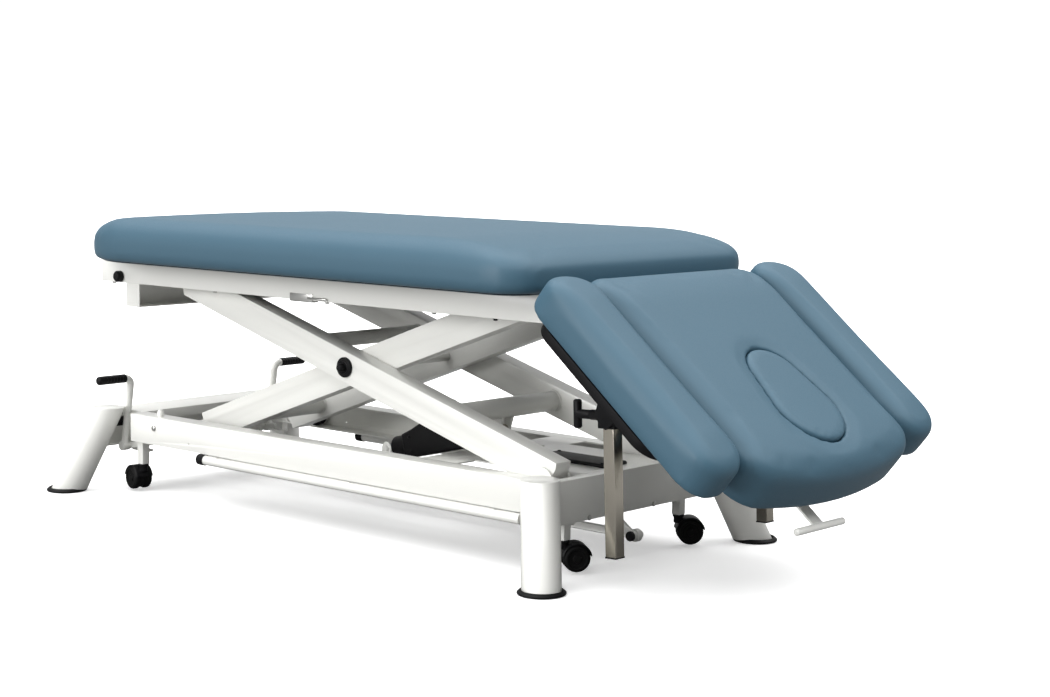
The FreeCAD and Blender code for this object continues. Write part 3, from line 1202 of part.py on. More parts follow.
CASTOR_STEMS = {"head_near": (HEAD_POST_X, -HEAD_POST_Y), "head_far": (HEAD_POST_X, HEAD_POST_Y),
                "foot_near": (FOOT_POST_X, -FOOT_POST_Y), "foot_far": (FOOT_POST_X, FOOT_POST_Y)}


def castor_placed(shape, name):
    x, y = CASTOR_STEMS[name]
    placed = shape.copy()
    placed.rotate(ORIGIN, Z_AXIS, CASTOR_HEADINGS[name])
    placed.translate(vec(x, y, 0))
    return placed


def castor_fork():
    """Stem, neck, web between the wheels and the hood over them."""
    half = WHEEL_GAP / 2 - SOFT_GAP
    side = WHEEL_GAP / 2 + WHEEL_WIDTH + 1
    neck_top = CASTOR_POST_BOTTOM - SOFT_GAP
    stem = Part.makeCylinder(5.5, 25, vec(0, 0, neck_top), Z_AXIS)
    neck = Part.makeCylinder(9.0, neck_top - 46, vec(0, 0, 46), Z_AXIS)
    collar = Part.makeCylinder(11.0, 4.0, vec(0, 0, neck_top - 4), Z_AXIS)
    web = rod_y(WHEEL_OFFSET, WHEEL_CENTRE_Z, -half, half, WHEEL_RADIUS - 3)
    hood = rod_y(WHEEL_OFFSET, WHEEL_CENTRE_Z, -side, side, WHEEL_RADIUS + 3)
    hood = hood.makeChamfer(4.0, [e for e in hood.Edges if e.Length > 100])
    inside = [rod_y(WHEEL_OFFSET, WHEEL_CENTRE_Z, y0, y0 + side - half, WHEEL_RADIUS + 0.8)
              for y0 in (-side, half)]
    cover = hood.cut(inside).common(block(-60, 60, -60, 60, WHEEL_CENTRE_Z + 4, 90))
    shape = fused(web, cover, neck, collar, stem)
    shape = shape.cut([rod_y(WHEEL_OFFSET, WHEEL_CENTRE_Z, y0, y0 + side - half, WHEEL_RADIUS + 0.8)
                       for y0 in (-side, half)])
    return shape.cut(rod_y(WHEEL_OFFSET, WHEEL_CENTRE_Z, -half, half, 4.0 + RUNNING_CLEARANCE))


def castor_wheels():
    inner = WHEEL_GAP / 2
    disc = rod_y(WHEEL_OFFSET, WHEEL_CENTRE_Z, inner, inner + WHEEL_WIDTH, WHEEL_RADIUS)
    disc = disc.makeChamfer(3.0, [e for e in disc.Edges if e.Length > 140])
    hub = vec(WHEEL_OFFSET, inner + WHEEL_WIDTH, WHEEL_CENTRE_Z)
    dish = Part.makeCone(14.0, 10.0, 3.0, hub, vec(0, -1, 0))
    disc = disc.cut(dish)
    axle = rod_y(WHEEL_OFFSET, WHEEL_CENTRE_Z, -inner - 4, inner + 4, 4.0)
    return fused(disc, mirrored(disc), axle)


# Foot control bars

def foot_bars():
    """Both long press bars and the cross bar between them, bored for their guide pins."""
    wall = FOOT_BAR_WALL
    parts = []
    cores = []
    for side in (-1, 1):
        start = vec(FOOT_BAR_START_X, side * BEAM_OUTER_Y, FOOT_BAR_Z)
        end = vec(FOOT_BAR_END_X, side * BEAM_OUTER_Y, FOOT_BAR_Z)
        parts.append(rod(start, end, FOOT_BAR_RADIUS))
        cores.append(rod(start, end - vec(wall, 0, 0), FOOT_BAR_RADIUS - wall))
    parts.append(rod_y(FOOT_BAR_CROSS_X, FOOT_BAR_Z, -BEAM_OUTER_Y, BEAM_OUTER_Y, FOOT_BAR_RADIUS - wall))
    shape = fused(*parts).cut(cores)
    holes = [Part.makeCylinder(HANGER_PIN_RADIUS + RUNNING_CLEARANCE, FOOT_BAR_RADIUS * 2,
                               vec(x, side * BEAM_OUTER_Y, FOOT_BAR_Z), Z_AXIS)
             for x in HANGER_PIN_XS for side in (-1, 1)]
    return [shape.cut(holes)]


def foot_bar_caps():
    y = -BEAM_OUTER_Y
    x0 = FOOT_BAR_START_X
    cap = rod(vec(x0 - 4, y, FOOT_BAR_Z), vec(x0 + 18, y, FOOT_BAR_Z), FOOT_BAR_RADIUS + 1.5)
    cap = cap.makeChamfer(2.5, [e for e in cap.Edges if e.CenterOfMass.x < x0 - 3])
    return pair(cap.cut(rod(vec(x0, y, FOOT_BAR_Z), vec(x0 + 18, y, FOOT_BAR_Z), FOOT_BAR_RADIUS)))


def hanger_pins():
    """Pins under the beams with their heads inside the foot bars, on which the bars slide."""
    low = FOOT_BAR_Z - (FOOT_BAR_TRAVEL + HANGER_HEAD) / 2
    pins = []
    for x in HANGER_PIN_XS:
        y = -BEAM_OUTER_Y
        shank = Part.makeCylinder(HANGER_PIN_RADIUS, BEAM_BOTTOM - low, vec(x, y, low), Z_AXIS)
        head = Part.makeCylinder(HANGER_HEAD_RADIUS, HANGER_HEAD, vec(x, y, low), Z_AXIS)
        pins += pair(fused(shank, head))
    return pins


def nodes():
    posts_head = castor_posts(HEAD_POST_X, HEAD_POST_Y, HEAD_SHAFT_X)
    posts_foot = castor_posts(FOOT_POST_X, FOOT_POST_Y, FOOT_SHAFT_X)
    parts = {
        "side_beams": side_beams(),
        "base_cross_members": cross_members(),
        "head_cross_beam": head_cross_beam(),
        "equipment_tray": equipment_tray(),
        "control_box": control_box(),
        "leg_tubes": leg_tubes(),
        "foot_rings": foot_rings(),
        "base_fasteners": base_fasteners() + hanger_pins(),
        "lever_stops": lever_stops(),
        "outer_arms": outer_arms(),
        "outer_braces": outer_braces(),
        "pivot_axle": pivot_axle(),
        "pivot_caps": pivot_caps(),
        "top_rollers": top_rollers(),
        "inner_arms": inner_arms(),
        "base_rollers": base_rollers(),
        "actuator_housing": actuator_housing(),
        "actuator_rod": actuator_rod(),
        "bed_rails": bed_rails(),
        "foot_end_hanger": foot_end_hanger(),
        "head_end_tube": head_end_tube(),
        "bed_board": bed_board(),
        "bed_cushion": bed_cushion(),
        "roll_holder_studs": roll_holder_studs(),
        "head_frame": head_frame(),
        "head_board": head_board(),
        "head_cushion": head_cushion(),
        "face_plug": face_plug(),
        "release_lever": release_lever(),
        "gas_cylinder": gas_cylinder(),
        "gas_rod": gas_rod(),
        "arm_posts": arm_posts(),
        "hand_levers": hand_levers(),
        "lever_grips": lever_grips(),
        "foot_castor_posts": posts_foot,
        "head_castor_posts": posts_head,
        "head_lift_shaft": [lift_shaft(HEAD_SHAFT_X, HEAD_POST_Y, BEAM_OUTER_Y - 20)],
        "link_rod": link_rod(),
        "foot_bars": foot_bars(),
        "foot_bar_caps": foot_bar_caps(),
    }
    for name, shape in (("arm_board", arm_board()), ("arm_cushion", arm_cushion()),
                        ("arm_clamp", arm_clamp()), ("clamp_knob", clamp_knob())):
        parts[name + "_near"] = [shape]
        parts[name + "_far"] = [mirrored(shape)]
    fork = castor_fork()
    wheels = castor_wheels()
    for name in CASTOR_STEMS:
        parts["castor_fork_" + name] = [castor_placed(fork, name)]
        parts["castor_wheels_" + name] = [castor_placed(wheels, name)]
    return parts


def frame_shift(parts):
    """Distance along X that puts the origin under the middle of the whole table."""
    boxes = [solid.optimalBoundingBox(False, False) for solids in parts.values() for solid in solids]
    return -(min(b.XMin for b in boxes) + max(b.XMax for b in boxes)) / 2


def export(parts, shift):
    os.makedirs("parts", exist_ok=True)
    for name, solids in parts.items():
        moved = [solid.copy() for solid in solids]
        for solid in moved:
            solid.translate(vec(shift, 0, 0))
        shape = moved[0] if len(moved) == 1 else Part.makeCompound(moved)
        shape.exportStep("parts/" + name + ".step")
        print(name, len(shape.Solids), shape.isValid())


PARTS = nodes()
SHIFT = frame_shift(PARTS)
print("shift along X", round(SHIFT, 3))
export(PARTS, SHIFT)
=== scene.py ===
"""Looks of an electric osteopathy table: upholstery, powder coated frame, plastics and plated steel."""
import json
import logging
import math
from dataclasses import dataclass
from enum import Enum
from typing import Optional, Sequence, Union

import bmesh
import bpy
import numpy as np
from mathutils import Matrix, Vector


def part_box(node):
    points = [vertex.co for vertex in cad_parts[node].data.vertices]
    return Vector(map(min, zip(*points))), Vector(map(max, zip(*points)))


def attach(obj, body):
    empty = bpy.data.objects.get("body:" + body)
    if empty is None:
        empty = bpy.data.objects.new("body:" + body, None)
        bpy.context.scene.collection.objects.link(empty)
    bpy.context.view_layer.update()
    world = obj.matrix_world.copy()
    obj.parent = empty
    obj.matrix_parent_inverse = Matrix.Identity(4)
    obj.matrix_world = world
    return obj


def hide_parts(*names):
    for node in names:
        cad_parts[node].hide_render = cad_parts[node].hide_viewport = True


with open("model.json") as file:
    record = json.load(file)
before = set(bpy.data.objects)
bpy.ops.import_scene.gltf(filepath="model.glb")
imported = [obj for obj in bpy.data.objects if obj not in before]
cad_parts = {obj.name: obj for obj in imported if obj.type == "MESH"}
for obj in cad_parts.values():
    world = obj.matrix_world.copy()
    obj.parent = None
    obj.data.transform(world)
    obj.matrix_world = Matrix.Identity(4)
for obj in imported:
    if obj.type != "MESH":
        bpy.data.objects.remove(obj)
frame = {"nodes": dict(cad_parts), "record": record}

LOG = logging.getLogger("table")
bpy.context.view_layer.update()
MM = 0.001
SHIFT_X = -187.479
UP = Vector((0.0, 0.0, 1.0))
DOWN = -UP
FRONT = Vector((1.0, 0.0, 0.0))
CREASE_DEGREES = 38.0
BEVEL_DEGREES = 40.0

# Heights and centres shared by several pieces, in millimetres on the drawing
RAIL_TOP = 507.47
CUSHION_TOP = 600.07
HEAD_BOTTOM = 501.47
HEAD_BOARD_TOP = 518.97
CENTRE = (56.96, 324.37)
HINGE = (637.0, 493.47)
POST_TOP = (759.0, 222.0, 386.0)
POST_LEAN = 2.5
HEAD_ANGLE = 39.2
MOTOR_PIVOT = (0.0, 138.0)
MOTOR_ANGLE = 12.87


def at(x: float, y: float, z: float) -> Vector:
    """Place in the frame, in metres, of a point of the drawing."""
    return Vector((x + SHIFT_X, y, z)) * MM


def standing(origin: Vector, direction: Vector) -> Matrix:
    """Matrix that stands a piece drawn along Z on a point, towards a direction."""
    return Matrix.Translation(origin) @ direction.to_track_quat("Z", "Y").to_matrix().to_4x4()


def turned_about(x: float, z: float, degrees: float) -> Matrix:
    """Turn about a line along Y through a point of the drawing.

    Args:
        x: Place of the line along the table.
        z: Height on the drawing.
        degrees: The turn.

    Returns:
        The turn as a matrix.
    """
    centre = at(x, 0.0, z)
    turn = Matrix.Rotation(math.radians(degrees), 4, "Y")
    return Matrix.Translation(centre) @ turn @ Matrix.Translation(-centre)


def bridge(form: bmesh.types.BMesh, loops: Sequence[list]) -> None:
    """Join each loop of vertices to the next with a band of faces.

    Args:
        form: The edit mesh to add to.
        loops: Rings of vertices, all of one length.
    """
    for lower, upper in zip(loops, loops[1:]):
        for i, vert in enumerate(lower):
            j = (i + 1) % len(lower)
            form.faces.new((vert, lower[j], upper[j], upper[i]))


def wire_ring(form: bmesh.types.BMesh, places: Sequence[Vector]) -> None:
    """Join points with edges into a closed ring.

    Args:
        form: The edit mesh to add to.
        places: Points in metres.
    """
    verts = [form.verts.new(place) for place in places]
    for start, end in zip(verts, verts[1:] + verts[:1]):
        form.edges.new((start, end))


HEAD_TILT = turned_about(*HINGE, HEAD_ANGLE)
POST_TURN = turned_about(POST_TOP[0], POST_TOP[2], -POST_LEAN)
MOTOR_TURN = turned_about(*MOTOR_PIVOT, -MOTOR_ANGLE)


class Side(Enum):
    """Which long side of the table a piece belongs to."""

    NEAR = -1
    FAR = 1

    @property
    def word(self) -> str:
        """Name of the side as it is used in node names."""
        return self.name.lower()

    @property
    def out(self) -> Vector:
        """Direction away from the middle of the table."""
        return Vector((0.0, float(self.value), 0.0))

    def place(self, x: float, y: float, z: float) -> Vector:
        """Place in the frame of a point that is drawn on the far side."""
        return at(x, self.value * y, z)


class Slot(Enum):
    """Material slots of the record."""

    PAINT = "white_paint"
    VINYL = "upholstery"
    BOARD = "board_black"
    PLASTIC = "black_plastic"
    RUBBER = "rubber"
    CHROME = "chrome"
    ZINC = "zinc_steel"
    ENAMEL = "black_paint"


class Head(Enum):
    """Shape of a fastener's head, by its number of sides."""

    HEX = 6
    ROUND = 20


Number = Union[int, float]


class Value:
    """A node socket that can be used in plain arithmetic."""

    def __init__(self, maker: "Graph", socket: bpy.types.NodeSocket) -> None:
        """Wrap one output socket.

        Args:
            maker: The graph whose tree the socket belongs to.
            socket: The output to read.
        """
        self.maker = maker
        self.socket = socket

    def _math(self, operation: str, *others: Union["Value", Number]) -> "Value":
        """Add a Math node and return its result."""
        return self.maker.node("ShaderNodeMath", {"operation": operation}, dict(enumerate(others)))["Value"]

    def __add__(self, other: Union["Value", Number]) -> "Value":
        """Sum of both values."""
        return self._math("ADD", self, other)

    def __radd__(self, other: Number) -> "Value":
        """Sum of both values."""
        return self._math("ADD", other, self)

    def __mul__(self, other: Union["Value", Number]) -> "Value":
        """Product of both values."""
        return self._math("MULTIPLY", self, other)


class Outputs:
    """The outputs of one node, read by name or number."""

    def __init__(self, maker: "Graph", node: bpy.types.Node) -> None:
        """Keep the node and its graph."""
        self.maker = maker
        self.node = node

    def __getitem__(self, key: Union[str, int]) -> Value:
        """Output socket of that name or number."""
        return Value(self.maker, self.node.outputs[key])


class Graph:
    """A node tree that is built by calls."""

    def __init__(self, tree: bpy.types.NodeTree) -> None:
        """Start on a tree."""
        self.tree = tree

    def node(self, kind: str, settings: Optional[dict] = None, inputs: Optional[dict] = None) -> Outputs:
        """Add a node.

        Args:
            kind: Node type.
            settings: Node attributes, and ramp stops under the key "stops".
            inputs: Values or links by socket name or number.

        Returns:
            The node's outputs.
        """
        made = self.tree.nodes.new(kind)
        for key, value in (settings or {}).items():
            if key == "stops":
                self._ramp(made.color_ramp, value)
            else:
                setattr(made, key, value)
        for key, value in (inputs or {}).items():
            if isinstance(value, Value):
                self.tree.links.new(value.socket, made.inputs[key])
            else:
                made.inputs[key].default_value = value
        return Outputs(self, made)

    @staticmethod
    def _ramp(ramp: bpy.types.ColorRamp, stops: Sequence[tuple]) -> None:
        """Set the stops of a colour ramp.

        Args:
            ramp: The ramp to change.
            stops: Position and grey of each stop.
        """
        while len(ramp.elements) < len(stops):
            ramp.elements.new(1.0)
        for element, (position, grey) in zip(ramp.elements, stops):
            element.position = position
            element.color = (grey, grey, grey, 1.0)


class Shader(Graph):
    """Builds one node material."""

    def __init__(self, name: str, shown: Sequence[float]) -> None:
        """Start an empty material.

        Args:
            name: The material's name.
            shown: Colour in solid view.
        """
        self.material = bpy.data.materials.new(name)
        self.material.use_nodes = True
        self.material.diffuse_color = (*shown[:3], 1.0)
        super().__init__(self.material.node_tree)
        self.tree.nodes.clear()
        self.place = self.node("ShaderNodeTexCoord")["Object"]

    def noise(self, scale: float, detail: float = 3.0, rough: float = 0.5) -> Value:
        """Smooth noise between 0 and 1 on the piece."""
        return self.node("ShaderNodeTexNoise", {}, {"Vector": self.place, "Scale": scale, "Detail": detail,
                                                     "Roughness": rough})["Fac"]

    def cells(self, scale: float) -> Value:
        """Distance to the nearest point of a cell pattern."""
        return self.node("ShaderNodeTexVoronoi", {}, {"Vector": self.place, "Scale": scale})["Distance"]

    def steps(self, factor: Value, stops: Sequence[tuple]) -> Value:
        """Value passed through a ramp of greys."""
        return self.node("ShaderNodeValToRGB", {"stops": stops}, {"Fac": factor})["Color"]

    def mix(self, factor: Value, first: Sequence[float], second: Sequence[float]) -> Value:
        """Blend of two colours.

        Args:
            factor: Share of the second colour.
            first: Colour where the factor is 0.
            second: Colour where the factor is 1.

        Returns:
            The mixed colour.
        """
        made = self.node("ShaderNodeMix", {"data_type": "RGBA"},
                         {0: factor, 6: (*first, 1.0), 7: (*second, 1.0)})
        return made[2]

    def bump(self, height: Value, strength: float, distance: float) -> Value:
        """Normal bent by a height pattern."""
        return self.node("ShaderNodeBump", {}, {"Height": height, "Strength": strength,
                                                 "Distance": distance})["Normal"]

    def finish(self, inputs: dict) -> bpy.types.Material:
        """Close the tree with a surface shader.

        Args:
            inputs: Values or links of the surface shader's sockets.

        Returns:
            The finished material.
        """
        surface = self.node("ShaderNodeBsdfPrincipled", {}, inputs)
        self.node("ShaderNodeOutputMaterial", {}, {"Surface": surface["BSDF"]})
        return self.material


@dataclass(frozen=True)
class PowderCoat:
    """Glossy powder coating with a faint orange peel and rubbed patches."""

    name: str = "powder_coat"
    colour: tuple = (0.82, 0.82, 0.785)
    shade: tuple = (0.805, 0.805, 0.768)
    roughness: float = 0.27
    scuffing: float = 0.06
    peel_depth: float = 0.03

    def material(self) -> bpy.types.Material:
        """Build the material.

        Returns:
            The finished material.
        """
        made = Shader(self.name, self.colour)
        cloud = made.noise(7.0, 4.0)
        peel = made.noise(560.0, 2.0)
        scuff = made.noise(44.0, 6.0, 0.62)
        return made.finish({
            "Base Color": made.mix(cloud, self.colour, self.shade),
            "Roughness": self.roughness + scuff * self.scuffing,
            "Normal": made.bump(peel, self.peel_depth, 0.0003),
            "Coat Weight": 0.30,
            "Coat Roughness": 0.12,
        })


@dataclass(frozen=True)
class Vinyl:
    """Matte upholstery vinyl with a fine leather grain."""

    name: str = "vinyl"
    colour: tuple = (0.044, 0.103, 0.148)
    shade: tuple = (0.041, 0.097, 0.140)
    roughness: float = 0.44
    grain_share: float = 0.7
    grain_depth: float = 0.15

    def material(self) -> bpy.types.Material:
        """Build the material.

        Returns:
            The finished material.
        """
        made = Shader(self.name, self.colour)
        cloud = made.noise(6.0, 5.0, 0.6)
        grain = made.cells(760.0)
        pores = made.noise(1900.0, 3.0)
        crease = made.steps(grain, ((0.0, 0.0), (0.45, 0.8), (1.0, 1.0)))
        relief = crease * self.grain_share + pores * (1 - self.grain_share)
        return made.finish({
            "Base Color": made.mix(cloud, self.colour, self.shade),
            "Roughness": self.roughness + grain * 0.16,
            "Normal": made.bump(relief, self.grain_depth, 0.0004),
            "Specular IOR Level": 0.40,
        })


@dataclass(frozen=True)
class Moulded:
    """Black moulded plastic, rubber or faced board."""

    name: str
    colour: tuple
    roughness: float
    texture: float
    depth: float = 0.18
    cloudiness: float = 0.16
    lightening: float = 1.5

    def material(self) -> bpy.types.Material:
        """Build the material.

        Returns:
            The finished material.
        """
        made = Shader(self.name, self.colour)
        cloud = made.noise(30.0, 4.0)
        spark = made.noise(self.texture, 3.0)
        lighter = tuple(c * self.lightening for c in self.colour)
        return made.finish({
            "Base Color": made.mix(cloud, self.colour, lighter),
            "Roughness": (self.roughness - self.cloudiness / 2) + cloud * self.cloudiness,
            "Normal": made.bump(spark, self.depth, 0.0004),
            "Specular IOR Level": 0.15,
        })


@dataclass(frozen=True)
class Plated:
    """Plated steel, bright or zinc."""

    name: str
    colour: tuple
    roughness: float
    streak: float
    cloudiness: float = 0.10
    darkening: float = 0.82

    def material(self) -> bpy.types.Material:
        """Build the material.

        Returns:
            The finished material.
        """
        made = Shader(self.name, self.colour)
        cloud = made.noise(22.0, 5.0, 0.6)
        fine = made.noise(self.streak, 2.0)
        darker = tuple(c * self.darkening for c in self.colour)
        return made.finish({
            "Base Color": made.mix(cloud, self.colour, darker),
            "Metallic": 1.0,
            "Roughness": self.roughness + cloud * self.cloudiness,
            "Normal": made.bump(fine, 0.06, 0.0003),
        })


class Finishes:
    """Every finish of the table, made once."""

    def __init__(self) -> None:
        """Build all materials."""
        kinds = {
            Slot.PAINT: PowderCoat(),
            Slot.VINYL: Vinyl(),
            Slot.BOARD: Moulded("board_edge", (0.003, 0.003, 0.0035), 0.60, 520.0),
            Slot.PLASTIC: Moulded("moulding", (0.004, 0.004, 0.0045), 0.45, 900.0),
            Slot.RUBBER: Moulded("rubber_tread", (0.003, 0.003, 0.003), 0.62, 420.0, 0.3),
            Slot.CHROME: Plated("chrome_plate", (0.60, 0.56, 0.48), 0.10, 300.0),
            Slot.ZINC: Plated("zinc_plate", (0.60, 0.60, 0.58), 0.30, 700.0),
            Slot.ENAMEL: Moulded("black_enamel", (0.004, 0.004, 0.0045), 0.25, 300.0, 0.05),
        }
        self.made = {slot: kind.material() for slot, kind in kinds.items()}

    def of(self, slot: Slot) -> bpy.types.Material:
        """Material for a record slot."""
        return self.made[slot]


class Recipe(Graph):
    """Builds one geometry tree with named inputs and runs it on pieces."""

    def __init__(self, name: str) -> None:
        """Start a tree with one geometry input and one geometry output.

        Args:
            name: Its name.
        """
        super().__init__(bpy.data.node_groups.new(name, "GeometryNodeTree"))
        for direction in ("INPUT", "OUTPUT"):
            self.tree.interface.new_socket("Geometry", in_out=direction, socket_type="NodeSocketGeometry")
        self.identifiers = {}
        self.source = self.node("NodeGroupInput")
        self.geometry = self.source["Geometry"]

    def size(self, name: str, default: Number, kind: str = "NodeSocketFloat") -> Value:
        """Add a named input.

        Args:
            name: The input's name.
            default: Its value where none is given.
            kind: Socket type.

        Returns:
            The input as a value of the tree.
        """
        socket = self.tree.interface.new_socket(name, in_out="INPUT", socket_type=kind)
        socket.default_value = default
        self.identifiers[name] = socket.identifier
        return self.source[name]

    def attribute(self, name: str, kind: str) -> Value:
        """Named attribute of the points."""
        return self.node("GeometryNodeInputNamedAttribute", {"data_type": kind}, {"Name": name})["Attribute"]

    def spaced(self, pitch: Value) -> Value:
        """Points along the edges of the piece, a pitch apart.

        Args:
            pitch: Distance from one point to the next.

        Returns:
            The points.
        """
        curve = self.node("GeometryNodeMeshToCurve", {}, {"Mesh": self.geometry})["Curve"]
        return self.node("GeometryNodeResampleCurve", {"mode": "LENGTH"},
                         {"Curve": curve, "Length": pitch})["Curve"]

    def close(self, geometry: Value) -> None:
        """End the tree."""
        self.node("NodeGroupOutput", {}, {"Geometry": geometry})

    def close_instances(self, instances: Value, material: bpy.types.Material) -> None:
        """End the tree with real geometry in one finish.

        Args:
            instances: The placed instances.
            material: The finish of all of them.
        """
        real = self.node("GeometryNodeRealizeInstances", {}, {"Geometry": instances})["Geometry"]
        coated = self.node("GeometryNodeSetMaterial", {}, {"Geometry": real, "Material": material})
        self.close(coated["Geometry"])

    def put_on(self, piece: bpy.types.Object, sizes: Optional[dict] = None) -> None:
        """Add the tree to a piece as a modifier.

        Args:
            piece: The object.
            sizes: Values of the named inputs.
        """
        modifier = piece.modifiers.new(self.tree.name, "NODES")
        modifier.node_group = self.tree
        for name, value in (sizes or {}).items():
            modifier[self.identifiers[name]] = value


class Workshop:
    """Shared ways of making and fitting pieces."""

    def __init__(self, finishes: Finishes) -> None:
        """Keep the finishes and build the tree that shades faces smooth up to a crease.

        Args:
            finishes: Every finish of the table.
        """
        self.finishes = finishes
        self.creases = Recipe("crease_shading")
        smooth = self.creases.node("GeometryNodeSetShadeSmooth", {"domain": "FACE"},
                                   {"Geometry": self.creases.geometry, "Shade Smooth": True})["Geometry"]
        angle = self.creases.node("GeometryNodeInputMeshEdgeAngle")["Unsigned Angle"]
        sharp = self.creases.node("FunctionNodeCompare", {"data_type": "FLOAT", "operation": "GREATER_THAN"},
                                  {0: angle, 1: math.radians(CREASE_DEGREES)})["Result"]
        self.creases.close(self.creases.node("GeometryNodeSetShadeSmooth", {"domain": "EDGE"},
                                             {"Geometry": smooth, "Selection": sharp,
                                              "Shade Smooth": False})["Geometry"])

    @staticmethod
    def object_of(name: str, data: bpy.types.ID) -> bpy.types.Object:
        """Put a mesh, a light or a camera in the scene as an object at the origin.

        Args:
            name: Its name.
            data: The mesh, light or camera.

        Returns:
            The new object.
        """
        made = bpy.data.objects.new(name, data)
        bpy.context.scene.collection.objects.link(made)
        return made

    @staticmethod
    def from_bmesh(name: str, form: bmesh.types.BMesh) -> bpy.types.Object:
        """Turn an edit mesh into an object.

        Args:
            name: Its name.
            form: The edit mesh, which is freed.

        Returns:
            The new object.
        """
        mesh = bpy.data.meshes.new(name)
        form.to_mesh(mesh)
        form.free()
        return Workshop.object_of(name, mesh)

    @staticmethod
    def turned(form: bmesh.types.BMesh, profile: Sequence[tuple], placed: Matrix, segments: int = 40,
               ring: bool = False) -> None:
        """Add a solid of revolution.

        Args:
            form: The edit mesh to add to.
            profile: Radius and height of each point in millimetres, upwards on the outside.
            placed: Where the solid, drawn round Z, goes.
            segments: Number of sides.
            ring: Whether the profile closes on itself instead of on the axis.
        """
        loops = []
        for radius, height in profile:
            if radius < 1e-6:
                loops.append([form.verts.new(placed @ Vector((0.0, 0.0, height * MM)))])
                continue
            turns = (2 * math.pi * i / segments for i in range(segments))
            circle = (Vector((radius * math.cos(t), radius * math.sin(t), height)) for t in turns)
            loops.append([form.verts.new(placed @ (place * MM)) for place in circle])
        pairs = list(zip(loops, loops[1:])) + ([(loops[-1], loops[0])] if ring else [])
        for low, high in pairs:
            for i in range(segments):
                j = (i + 1) % segments
                corners = [low[i % len(low)], low[j % len(low)], high[j % len(high)], high[i % len(high)]]
                unique = list(dict.fromkeys(corners))
                if len(unique) > 2:
                    form.faces.new(unique)

    @staticmethod
    def block(form: bmesh.types.BMesh, low: Vector, high: Vector, placed: Optional[Matrix] = None) -> None:
        """Add a box between two corners, in metres.

        Args:
            form: The edit mesh to add to.
            low: Lower corner.
            high: Upper corner.
            placed: Turn that is laid over it, if any.
        """
        middle, size = (low + high) / 2, high - low
        matrix = (placed or Matrix()) @ Matrix.Translation(middle) @ Matrix.Diagonal((*size, 1.0))
        bmesh.ops.create_cube(form, size=1.0, matrix=matrix)

    def fit(self, piece: bpy.types.Object, body: str, slot: Slot, replaces: Sequence[str] = ()) -> None:
        """Give a piece its finish, body and slot.

        Args:
            piece: The finished object.
            body: The body that it rides on.
            slot: The record slot of its finish.
            replaces: Nodes that it stands for.
        """
        piece.data.materials.clear()
        piece.data.materials.append(self.finishes.of(slot))
        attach(piece, body)
        if replaces:
            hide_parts(*replaces)
        LOG.info("piece %s on %s", piece.name, body)

    def apply(self, piece: bpy.types.Object) -> None:
        """Apply every modifier of a piece.

        Args:
            piece: The object to work on.
        """
        graph = bpy.context.evaluated_depsgraph_get()
        mesh = bpy.data.meshes.new_from_object(piece.evaluated_get(graph))
        piece.modifiers.clear()
        old = piece.data
        piece.data = mesh
        bpy.data.meshes.remove(old)

    def hard(self, name: str, form: bmesh.types.BMesh, body: str, slot: Slot, replaces: Sequence[str] = (),
             ease: float = 0.0) -> None:
        """Finish a hard piece, with eased edges where it has a width for them.

        Args:
            name: The piece's name.
            form: Its closed shape.
            body: The body that it rides on.
            slot: The record slot of its finish.
            replaces: Nodes that it stands for.
            ease: Width of the eased edges in millimetres, or 0 for none.
        """
        bmesh.ops.recalc_face_normals(form, faces=form.faces)
        piece = self.from_bmesh(name, form)
        if ease:
            self.eased(piece, ease)
        self.creases.put_on(piece)
        self.apply(piece)
        self.fit(piece, body, slot, replaces)

    @staticmethod
    def eased(piece: bpy.types.Object, width: float) -> None:
        """Round the sharp edges of a piece a little.

        Args:
            piece: The object to work on.
            width: Width of the rounding in millimetres.
        """
        bevel = piece.modifiers.new("ease", "BEVEL")
        bevel.width = width * MM
        bevel.segments = 2
        bevel.limit_method = "ANGLE"
        bevel.angle_limit = math.radians(BEVEL_DEGREES)


@dataclass(frozen=True)
class BoxPlan:
    """Rectangular plan of a pad with rounded corners, in millimetres."""

    x0: float
    x1: float
    y0: float
    y1: float
    foot_corner: float
    head_corner: float

    def outline(self, inset: float, count: int = 14) -> list:
        """Plan moved inwards.

        Args:
            inset: Distance in from the outer edge.
            count: Steps on each corner.

        Returns:
            Plan points anticlockwise.
        """
        x0, x1, y0, y1 = self.x0 + inset, self.x1 - inset, self.y0 + inset, self.y1 - inset
        foot, head = max(self.foot_corner - inset, 2.0), max(self.head_corner - inset, 2.0)
        points = []
        for cx, cy, radius, start in ((x1 - head, y1 - head, head, 0), (x0 + foot, y1 - foot, foot, 90),
                                      (x0 + foot, y0 + foot, foot, 180), (x1 - head, y0 + head, head, 270)):
            for step in range(count + 1):
                turn = math.radians(start + 90 * step / count)
                points.append((cx + radius * math.cos(turn), cy + radius * math.sin(turn)))
        return points


